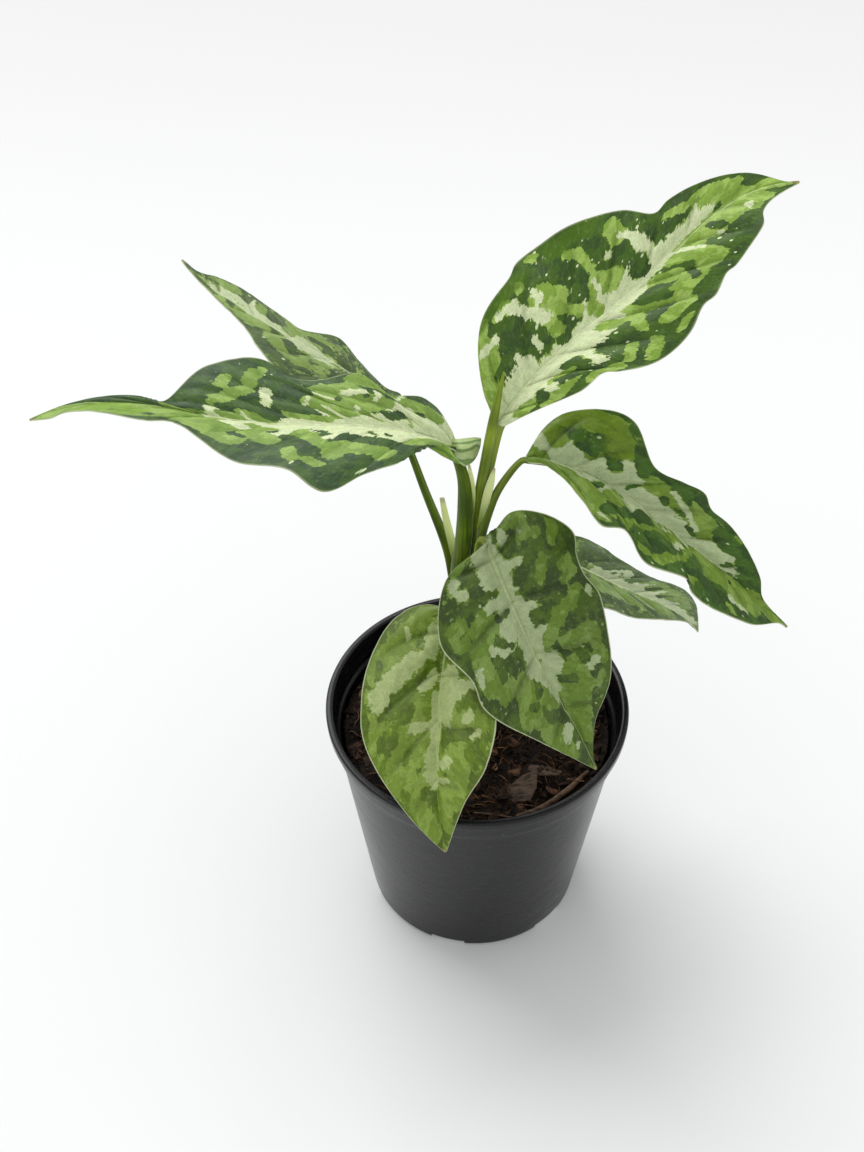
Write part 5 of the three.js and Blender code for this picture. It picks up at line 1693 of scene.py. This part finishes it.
# %% Turned body tree
def turned_tree():
    tree, given = geometry_tree("Turned body", {"Sides": "count", "Points": "count"})
    grid = add(tree, "GeometryNodeMeshGrid", {
        "Size X": 1.0, "Size Y": 1.0, "Vertices X": given["Sides"] + 1, "Vertices Y": given["Points"],
    }).outputs[0]
    position = field(tree, "Position")
    x, y, _ = split(tree, position)
    index = ((y + 0.5) * (given["Points"] - 1)).math("ROUND")
    corner = add(tree, "GeometryNodeSampleIndex", {
        "Geometry": given["Geometry"], "Value": position, "Index": index,
    }, data_type="FLOAT_VECTOR", domain="POINT").outputs[0]
    radius, _, height = split(tree, corner)
    turn = (x + 0.5) * (2 * math.pi)
    place = join(tree, radius * turn.math("COSINE"), radius * turn.sine(), height)
    wrapped = add(tree, "GeometryNodeSetPosition", {"Geometry": grid, "Position": place}).outputs[0]
    merged = add(tree, "GeometryNodeMergeByDistance", {"Geometry": wrapped, "Distance": 0.000002})
    geometry_out(tree, merged.outputs[0], given["Material"])
    return tree


TURNED = turned_tree()
print("tree:", TURNED.name, "nodes:", len(TURNED.nodes))

# %% [markdown]
# The plastic is charcoal black, satin, with faint turning lines, a slightly uneven skin, rubbed
# spots and a little dust. Its colour is darkened towards the foot, a painted shade.

# %% Pot finish
def pot_finish():
    paint, tree, shader = material("pot_plastic", {"Specular IOR Level": 0.3})
    place = object_place(tree)
    lines = streaks(tree, place, 14.0, 900.0, 2.0)
    scuffs = streaks(tree, place, 45.0, 1400.0, 7.0)
    cloud = noise(tree, place, 30.0, 4.0, 0.6)
    rubbed = scuffs.ramp(0.62, 0.72) * cloud.ramp(0.45, 0.6)
    specks = noise(tree, place, 900.0, 2.0).ramp(0.7, 0.74)
    colour = blend(tree, cloud, (0.003, 0.0031, 0.0034), (0.006, 0.0062, 0.0066))
    colour = blend(tree, rubbed * 0.5, colour, (0.09, 0.09, 0.092))
    colour = blend(tree, specks * 0.4, colour, (0.14, 0.13, 0.12))
    _, _, height = split(tree, place)
    # Painted shade: the colour darkens towards the foot.
    colour = scaled(tree, colour, height.ramp(-0.01, 0.09) * 1.1 + 0.1)
    relief = lines * 0.3 + noise(tree, place, 170.0, 4.0, 0.6) * 0.7
    dress(tree, shader, colour, cloud * 0.16 + lines * 0.16 + 0.1, bump(tree, relief, 0.0003, 0.7))
    return paint


POT_PAINT = pot_finish()
print("pot finish:", POT_PAINT.name)

# %% [markdown]
# The drain holes and the notches in the foot are cut out with one Boolean modifier and one object
# that holds all the cutters.

# %% Make the pot
POT_SIDES = 192
DRAINS = 6
DRAIN_RADIUS = 3.5
DRAIN_CIRCLE = 32.0              # from the axis to the middle of a drain hole
DRAIN_DEPTH = 6.0
NOTCH_SIZE = (12.0, 14.0, 5.4)   # inwards, along the foot and up
NOTCH_MIDDLE = 43.5


def cutters():
    """Drain cylinders and notch boxes in one mesh."""
    shape = bmesh.new()
    for n in range(DRAINS):
        turn = 2 * math.pi * (n + 0.25) / DRAINS
        cos, sin = math.cos(turn), math.sin(turn)
        radius = DRAIN_RADIUS * MM
        drain = bmesh.ops.create_cone(
            shape, cap_ends=True, segments=32, radius1=radius, radius2=radius, depth=DRAIN_DEPTH * MM
        )["verts"]
        middle = (DRAIN_CIRCLE * MM * cos, DRAIN_CIRCLE * MM * sin, DRAIN_DEPTH / 2 * MM)
        bmesh.ops.translate(shape, verts=drain, vec=middle)
        notch = bmesh.ops.create_cube(shape, size=1)["verts"]
        bmesh.ops.scale(shape, verts=notch, vec=[side * MM for side in NOTCH_SIZE])
        bmesh.ops.translate(shape, verts=notch, vec=(NOTCH_MIDDLE * MM, 0, 0))
        for vertex in notch:
            x, y, z = vertex.co
            vertex.co = (x * cos - y * sin, x * sin + y * cos, z)
    mesh = bpy.data.meshes.new("cutters")
    shape.to_mesh(mesh)
    shape.free()
    return show("cutters", mesh)


pot_points = np.stack([pot_outline[:, 0], np.zeros(len(pot_outline)), pot_outline[:, 1]], 1)
pot = new_piece("pot_shell", pot_points, [], [POT_PAINT])
run_tree(pot, TURNED, {"Sides": POT_SIDES, "Points": len(pot_points), "Material": POT_PAINT})
keep_result(pot)
check_closed(pot)
cutter = cutters()
cut = pot.modifiers.new("drains", "BOOLEAN")
cut.operation = "DIFFERENCE"
cut.solver = "EXACT"
cut.object = cutter
keep_result(pot)
bpy.data.objects.remove(cutter)
smooth(pot, 35)
settle(pot, "pot", "pot")

# %% [markdown]
# ## Peat
#
# The peat's level follows the same gentle mounds as in the frame. Below the top its outline runs
# down the inside of the pot's wall and over its floor.

# %% Peat body
SOIL_LEVEL = 92.0
PEAT_SIDES = 200
PEAT_STEP = 0.75
PEAT_WALL = [                    # radius and height, from the edge of the top to the floor's middle
    (53.3, 88.5), (48, 48), (41.4, 5.4), (39.9, 3.9), (20.9, 3.9), (18.7, 1.9), (0.3, 1.9),
]


def soil_height(x, y):
    mounds = 1.3 * np.sin(x / 11 + 1) * np.cos(y / 9) + 0.8 * np.sin(x / 5 - y / 7)
    return SOIL_LEVEL + mounds - 1.5 * (np.hypot(x, y) / 60) ** 3


def peat_rings():
    """Rings from the middle of the top, down the wall, to the middle of the floor."""
    turn = full_turn(PEAT_SIDES)
    rings = []
    for radius in np.concatenate([[0.3], np.arange(1.0, 53.2, PEAT_STEP)]):
        x, y = radius * np.cos(turn), radius * np.sin(turn)
        rings.append(np.stack([x, y, soil_height(x, y)], 1))
    for radius, z in PEAT_WALL:
        rings.append(np.stack([radius * np.cos(turn), radius * np.sin(turn), np.full(PEAT_SIDES, z)], 1))
    return np.array(rings)


print("soil level at the middle:", round(float(soil_height(0.0, 0.0)), 1))

# %% [markdown]
# Close up, peat is crumbs and clods with dark gaps between them. A Geometry Nodes tree lifts and
# sinks the top by noise of two sizes, and the finish, dark brown in lumps, is the same for the
# loose bits that follow, with lighter colours. The body's own colours are the darkest: partly the
# peat's dark brown, partly painted shade for the gaps between the crumbs.

# %% Peat relief and finish
def peat_relief_tree():
    tree, given = geometry_tree("Peat relief", {"Crumbs": "number", "Clods": "number", "Floor": "number"})
    position = field(tree, "Position")
    _, _, z = split(tree, position)
    top = (z - given["Floor"]).ramp(-0.001, 0.001)
    crumbs = noise(tree, position, 330.0, 4.0, 0.7) - 0.5
    clods = noise(tree, position, 90.0, 2.0) - 0.5
    height = (crumbs * given["Crumbs"] + clods * given["Clods"]) * top
    moved = push(tree, given["Geometry"], join(tree, 0.0, 0.0, height))
    geometry_out(tree, moved, given["Material"])
    return tree


def peat_finish(name, dark, light, scale, shaded=True):
    """Brown in lumps; loose bits also have a tone of their own, stored on them as shade."""
    paint, tree, shader = material(name, {"Specular IOR Level": 0.15})
    place = object_place(tree)
    lumps = noise(tree, place, scale, 3.0, 0.6)
    fine = noise(tree, place, scale * 6, 3.0, 0.7)
    colour = blend(tree, lumps.ramp(0.4, 0.65), dark, light)
    tone = fine * 1.2 + 0.4
    if shaded:
        shade = Number(tree, add(tree, "ShaderNodeAttribute", attribute_name="shade").outputs["Fac"])
        tone = tone * ((shade ** 3.0) * 1.6 + 0.3)
    dress(tree, shader, scaled(tree, colour, tone), fine * 0.25 + 0.6, bump(tree, fine, 0.0006, 0.8))
    return paint


PEAT_RELIEF = peat_relief_tree()
# The body is the darkest brown: partly the peat's own colour, partly painted shade for the gaps between the
# crumbs.
PEAT_PAINT = peat_finish("peat", (0.004, 0.0025, 0.0015), (0.022, 0.012, 0.007), 160.0, shaded=False)
PEAT_FLOOR = 89.3                # only what is higher than this is loosened and strewn with litter
peat = skin("peat_body", peat_rings(), PEAT_PAINT)
run_tree(peat, PEAT_RELIEF, {
    "Crumbs": 4.5 * MM, "Clods": 4 * MM, "Floor": PEAT_FLOOR * MM, "Material": PEAT_PAINT,
})
keep_result(peat)
smooth(peat)
settle(peat, "soil", "soil")

# %% [markdown]
# Litter is scattered with Geometry Nodes: points are spread over the top of the peat with a fixed
# seed, and on each stands a turned and scaled copy of one small shape, with a tone of its own. The
# shapes have only a few dozen faces because there are many hundreds of them.

# %% Scatter tree
def scatter_tree():
    tree, given = geometry_tree("Scatter litter", {
        "Shape": "object", "Density": "number", "Smallest": "number", "Largest": "number",
        "Tilt": "number", "Lift": "number", "Radius": "number", "Floor": "number", "Seed": "count",
    })
    x, y, z = split(tree, field(tree, "Position"))
    inside = ((x * x + y * y).math("SQRT") * -1.0 + given["Radius"]).math("GREATER_THAN", 0.0)
    top = (z - given["Floor"]).math("GREATER_THAN", 0.0)
    points = add(tree, "GeometryNodeDistributePointsOnFaces", {
        "Mesh": given["Geometry"], "Selection": inside * top,
        "Density": given["Density"], "Seed": given["Seed"],
    }).outputs["Points"]
    lifted = push(tree, points, join(tree, 0.0, 0.0, given["Lift"]))
    shape = add(tree, "GeometryNodeObjectInfo", {"Object": given["Shape"]}).outputs["Geometry"]
    tilt = given["Tilt"]
    lean = add(tree, "FunctionNodeRandomValue", {
        0: join(tree, -tilt, -tilt), 1: join(tree, tilt, tilt, 2 * math.pi), "Seed": given["Seed"],
    }, data_type="FLOAT_VECTOR").outputs[0]
    size = add(tree, "FunctionNodeRandomValue", {
        2: given["Smallest"], 3: given["Largest"], "Seed": given["Seed"] + 1,
    }, data_type="FLOAT").outputs[1]
    turned = add(tree, "FunctionNodeEulerToRotation", {0: lean}).outputs[0]
    copies = add(tree, "GeometryNodeInstanceOnPoints", {
        "Points": lifted, "Instance": shape, "Rotation": turned, "Scale": size,
    }).outputs[0]
    shade = add(tree, "FunctionNodeRandomValue", {
        2: 0.0, 3: 1.0, "Seed": given["Seed"] + 2,
    }, data_type="FLOAT").outputs[1]
    toned = add(tree, "GeometryNodeStoreNamedAttribute", {
        "Geometry": copies, "Name": "shade", "Value": shade,
    }, data_type="FLOAT", domain="INSTANCE").outputs[0]
    geometry_out(tree, toned, given["Material"])
    return tree


SCATTER = scatter_tree()
print("tree:", SCATTER.name, "nodes:", len(SCATTER.nodes))

# %% [markdown]
# Three little shapes: a knobbly crumb, a bent fibre and a torn shred of bark. At scale 1 a crumb is
# about 2 mm across and a fibre 6 mm long. Each is deleted once it has been scattered.

# %% Litter shapes
def crumb_shape(rng):
    shape = bmesh.new()
    bmesh.ops.create_icosphere(shape, subdivisions=1, radius=1.0)
    points = np.array([v.co for v in shape.verts]) * rng.uniform(0.65, 1.2, (len(shape.verts), 1))
    faces = [[v.index for v in f.verts] for f in shape.faces]
    shape.free()
    return points * [1.0, 0.8, 0.7], faces


def tube_shape(rng, thickness, bend, steps=7, sides=4):
    t = np.linspace(-1, 1, steps)
    middle = np.stack([t * 3, bend * (1 - t ** 2), 0.5 * bend * np.sin(3 * t)], 1)
    middle += rng.normal(0, 0.12, middle.shape)
    turn = full_turn(sides)
    girth = thickness * (1 - 0.6 * np.abs(t) ** 3)
    rings = middle[:, None] + girth[:, None, None] * np.stack([0 * turn, np.cos(turn), np.sin(turn)], 1)
    faces = [
        (i * sides + k, i * sides + (k + 1) % sides, (i + 1) * sides + (k + 1) % sides, (i + 1) * sides + k)
        for i in range(steps - 1) for k in range(sides)
    ]
    faces += [tuple(range(sides))[::-1], tuple((steps - 1) * sides + k for k in range(sides))]
    return rings.reshape(-1, 3), faces


def shred_shape(rng):
    points, faces = tube_shape(rng, 0.8, 0.4, steps=6, sides=6)
    return points * [0.6, 1.0, 0.22], faces


print("litter shapes ready")

# %% [markdown]
# Four piles: many crumbs, then fibres, finer threads and a few shreds. Fibres and shreds lie nearly
# flat, so their tilt is small, and each pile has its own seed.

# %% Scatter the litter
def scatter(name, shape, paint, **sizes):
    points, faces = shape
    seedling = new_piece(name + "_one", points, faces, [])
    pile = show(name, peat.data.copy())
    values = {"Radius": 53 * MM, "Floor": PEAT_FLOOR * MM, "Tilt": 3.1, "Lift": 0.0}
    run_tree(pile, SCATTER, {**values, **sizes, "Shape": seedling, "Material": paint})
    keep_result(pile)
    bpy.data.objects.remove(seedling)
    smooth(pile, 50)
    settle(pile, "soil")


litter_rng = np.random.default_rng(11)
CRUMB_PAINT = peat_finish("peat_crumb", (0.014, 0.008, 0.005), (0.055, 0.029, 0.017), 300.0)
FIBRE_PAINT = peat_finish("peat_fibre", (0.045, 0.021, 0.010), (0.20, 0.10, 0.05), 120.0)
SHRED_PAINT = peat_finish("bark_shred", (0.036, 0.018, 0.010), (0.15, 0.078, 0.045), 140.0)
scatter("peat_crumbs", crumb_shape(litter_rng), CRUMB_PAINT,
        Density=1.8e5, Smallest=0.4, Largest=1.5, Seed=4)
scatter("peat_fibres", tube_shape(litter_rng, 0.16, 0.9), FIBRE_PAINT, Density=7.0e4, Smallest=0.5,
        Largest=1.8, Tilt=0.5, Lift=0.4 * MM, Radius=49 * MM, Seed=9)
scatter("peat_threads", tube_shape(litter_rng, 0.09, -1.4, 9), FIBRE_PAINT, Density=4.0e4, Smallest=0.6,
        Largest=2.0, Tilt=0.6, Lift=0.7 * MM, Radius=48.5 * MM, Seed=14)
scatter("bark_shreds", shred_shape(litter_rng), SHRED_PAINT, Density=2.6e4, Smallest=0.7, Largest=2.6,
        Tilt=0.7, Lift=0.4 * MM, Radius=49.5 * MM, Seed=21)

# %% [markdown]
# ## Bark
#
# Six flakes of bark lie in the peat. Each is a thin slab with a torn outline, its faces ridged
# along the grain. Walking inwards from the outline in rings gives both faces and the rim in one
# closed skin.

# %% Bark flakes
FLAKES = {
    "bark_flake_front": ([17, -33.5], 2.2, 1.1, [16, -16],
                         [(-6.5, -5), (2.5, -6.5), (5.5, -1.5), (6.8, 6.5), (0, 4.5), (-6, 0.5)]),
    "bark_flake_right": ([26, -25], 0.7, 1.2, [-10, 14],
                         [(-7, -1), (-2, -3), (6, -1.5), (7.5, 1.5), (0, 3), (-6, 2)]),
    "bark_flake_side": ([37, 2], 1.2, 1.4, [9, 12], [(-4, -5), (2, -6), (4.5, 0), (3, 6), (-3, 4)]),
    "bark_flake_left": ([-36, -14], 1.4, 1.6, [-12, -8], [(-5, -3), (0, -5), (5, -2), (4, 4), (-2, 5)]),
    "bark_flake_rear": ([-16, 33], 1.4, 1.7, [10, -9], [(-8, -2), (-1, -4), (7, -2), (6, 3), (-4, 4)]),
    "bark_flake_rear_right": ([24, 30], 1.2, 1.5, [-8, 10], [(-5, -4), (3, -4), (6, 1), (1, 4.5), (-5, 3)]),
}
FLAKE_SIDES = 60
FLAKE_RINGS = 10


def flake_rings(spec, rng):
    (x, y), lift, thickness, tilt, outline = spec
    corners = np.array([*outline, outline[0]], float)
    length = np.concatenate([[0], np.cumsum(np.linalg.norm(np.diff(corners, axis=0), axis=1))])
    wanted = np.linspace(0, length[-1], FLAKE_SIDES, endpoint=False)
    edge = np.stack([np.interp(wanted, length, corners[:, k]) for k in range(2)], 1)
    edge *= 1 + 0.025 * rng.normal(0, 1, (FLAKE_SIDES, 1))
    grain = rng.uniform(0, 2 * np.pi, 4)
    rings = []
    for face in (1, -1):
        steps = np.linspace(0.04, 1, FLAKE_RINGS) if face > 0 else np.linspace(1, 0.04, FLAKE_RINGS)
        for step in steps:
            flat = edge * step
            ridges = sum(0.12 / (k + 1) * np.sin((2.2 + k * 1.7) * flat[:, 1] + 0.3 * flat[:, 0] + grain[k])
                         for k in range(4))
            drop = (0.5 * thickness + ridges) * (1 - 0.45 * step ** 8)
            rings.append(np.column_stack([flat, face * drop]))
    rings = np.array(rings)
    a, b = np.radians(tilt)
    around_x = np.array([[1, 0, 0], [0, np.cos(a), -np.sin(a)], [0, np.sin(a), np.cos(a)]])
    around_y = np.array([[np.cos(b), 0, np.sin(b)], [0, 1, 0], [-np.sin(b), 0, np.cos(b)]])
    middle = np.array([x, y, float(soil_height(x, y)) + lift])
    return rings @ around_x.T @ around_y.T + middle


def bark_finish(name, dark, light):
    paint, tree, shader = material(name, {"Specular IOR Level": 0.3})
    place = object_place(tree)
    x, y, z = split(tree, place)
    grain = streaks(tree, join(tree, z, x, y), 120.0, 1100.0, 4.0)
    cloud = noise(tree, place, 260.0, 3.0)
    colour = blend(tree, (grain * 0.6 + cloud * 0.4).ramp(0.38, 0.62), dark, light)
    dress(tree, shader, colour, cloud * 0.2 + 0.65, bump(tree, grain, 0.0006, 0.8))
    return paint


BARK_PAINT = bark_finish("bark", (0.026, 0.016, 0.011), (0.15, 0.098, 0.07))
bark_rng = np.random.default_rng(5)
for flake_name, flake_spec in FLAKES.items():
    flake = skin(flake_name + "_slab", flake_rings(flake_spec, bark_rng), BARK_PAINT)
    settle(flake, "bark", flake_name)

# %% [markdown]
# ## Twigs
#
# Three thin twigs lie on the peat. They are rods again, knobbly and thinner at both ends, and their
# finish is that of the bark in lighter browns.

# %% Twigs
TWIGS = {                        # radii along the twig, height over the peat, route as x and y
    "twig_long": ([0.7, 1.1, 1.2, 0.8], 1.5, [[14, -47], [24, -42], [33, -35.5], [43, -25.5]]),
    "twig_thin": ([0.35, 0.4, 0.35], 1.3, [[-2, -45], [5, -46.6], [14, -47.6]]),
    "twig_rear": ([0.9, 1.0, 0.7], 0.9, [[-40, 8], [-36, 17], [-29, 25]]),
}
TWIG_PAINT = bark_finish("twig_bark", (0.05, 0.028, 0.017), (0.22, 0.135, 0.085))
for twig_name, (twig_radii, twig_lift, twig_route) in TWIGS.items():
    heights = [[x, y, float(soil_height(x, y)) + twig_lift] for x, y in twig_route]
    twig_path = wire(heights, 30)
    twig_girth = through(twig_radii, np.linspace(0, 1, 31))
    twig_girth[[0, -1]] *= 0.6
    twig = make_rod(twig_name + "_rod", twig_path, twig_girth, TWIG_PAINT, **{
        "Sides": 16, "Steps": 60, "Knobs": 0.5 * MM, "Knob size": 350.0, "Seed": 1.0,
    })
    settle(twig, "twig", twig_name)

# %% [markdown]
# ## Roots
#
# The roots are inside the peat. Their shape in the frame is right, so the node stays and only gets
# a better material: fleshy, cream, with brown stains.

# %% Roots
root_paint, root_tree, root_shader = material("root_flesh", {"Roughness": 0.6})
root_stain = noise(root_tree, object_place(root_tree), 140.0, 3.0)
root_colour = blend(root_tree, root_stain.ramp(0.4, 0.7), (0.62, 0.52, 0.34), (0.30, 0.20, 0.11))
dress(root_tree, root_shader, root_colour, normal=bump(root_tree, root_stain, 0.0004, 0.6))
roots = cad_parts["roots"].data
roots.materials.clear()
roots.materials.append(root_paint)
print("roots:", len(roots.polygons), "faces")
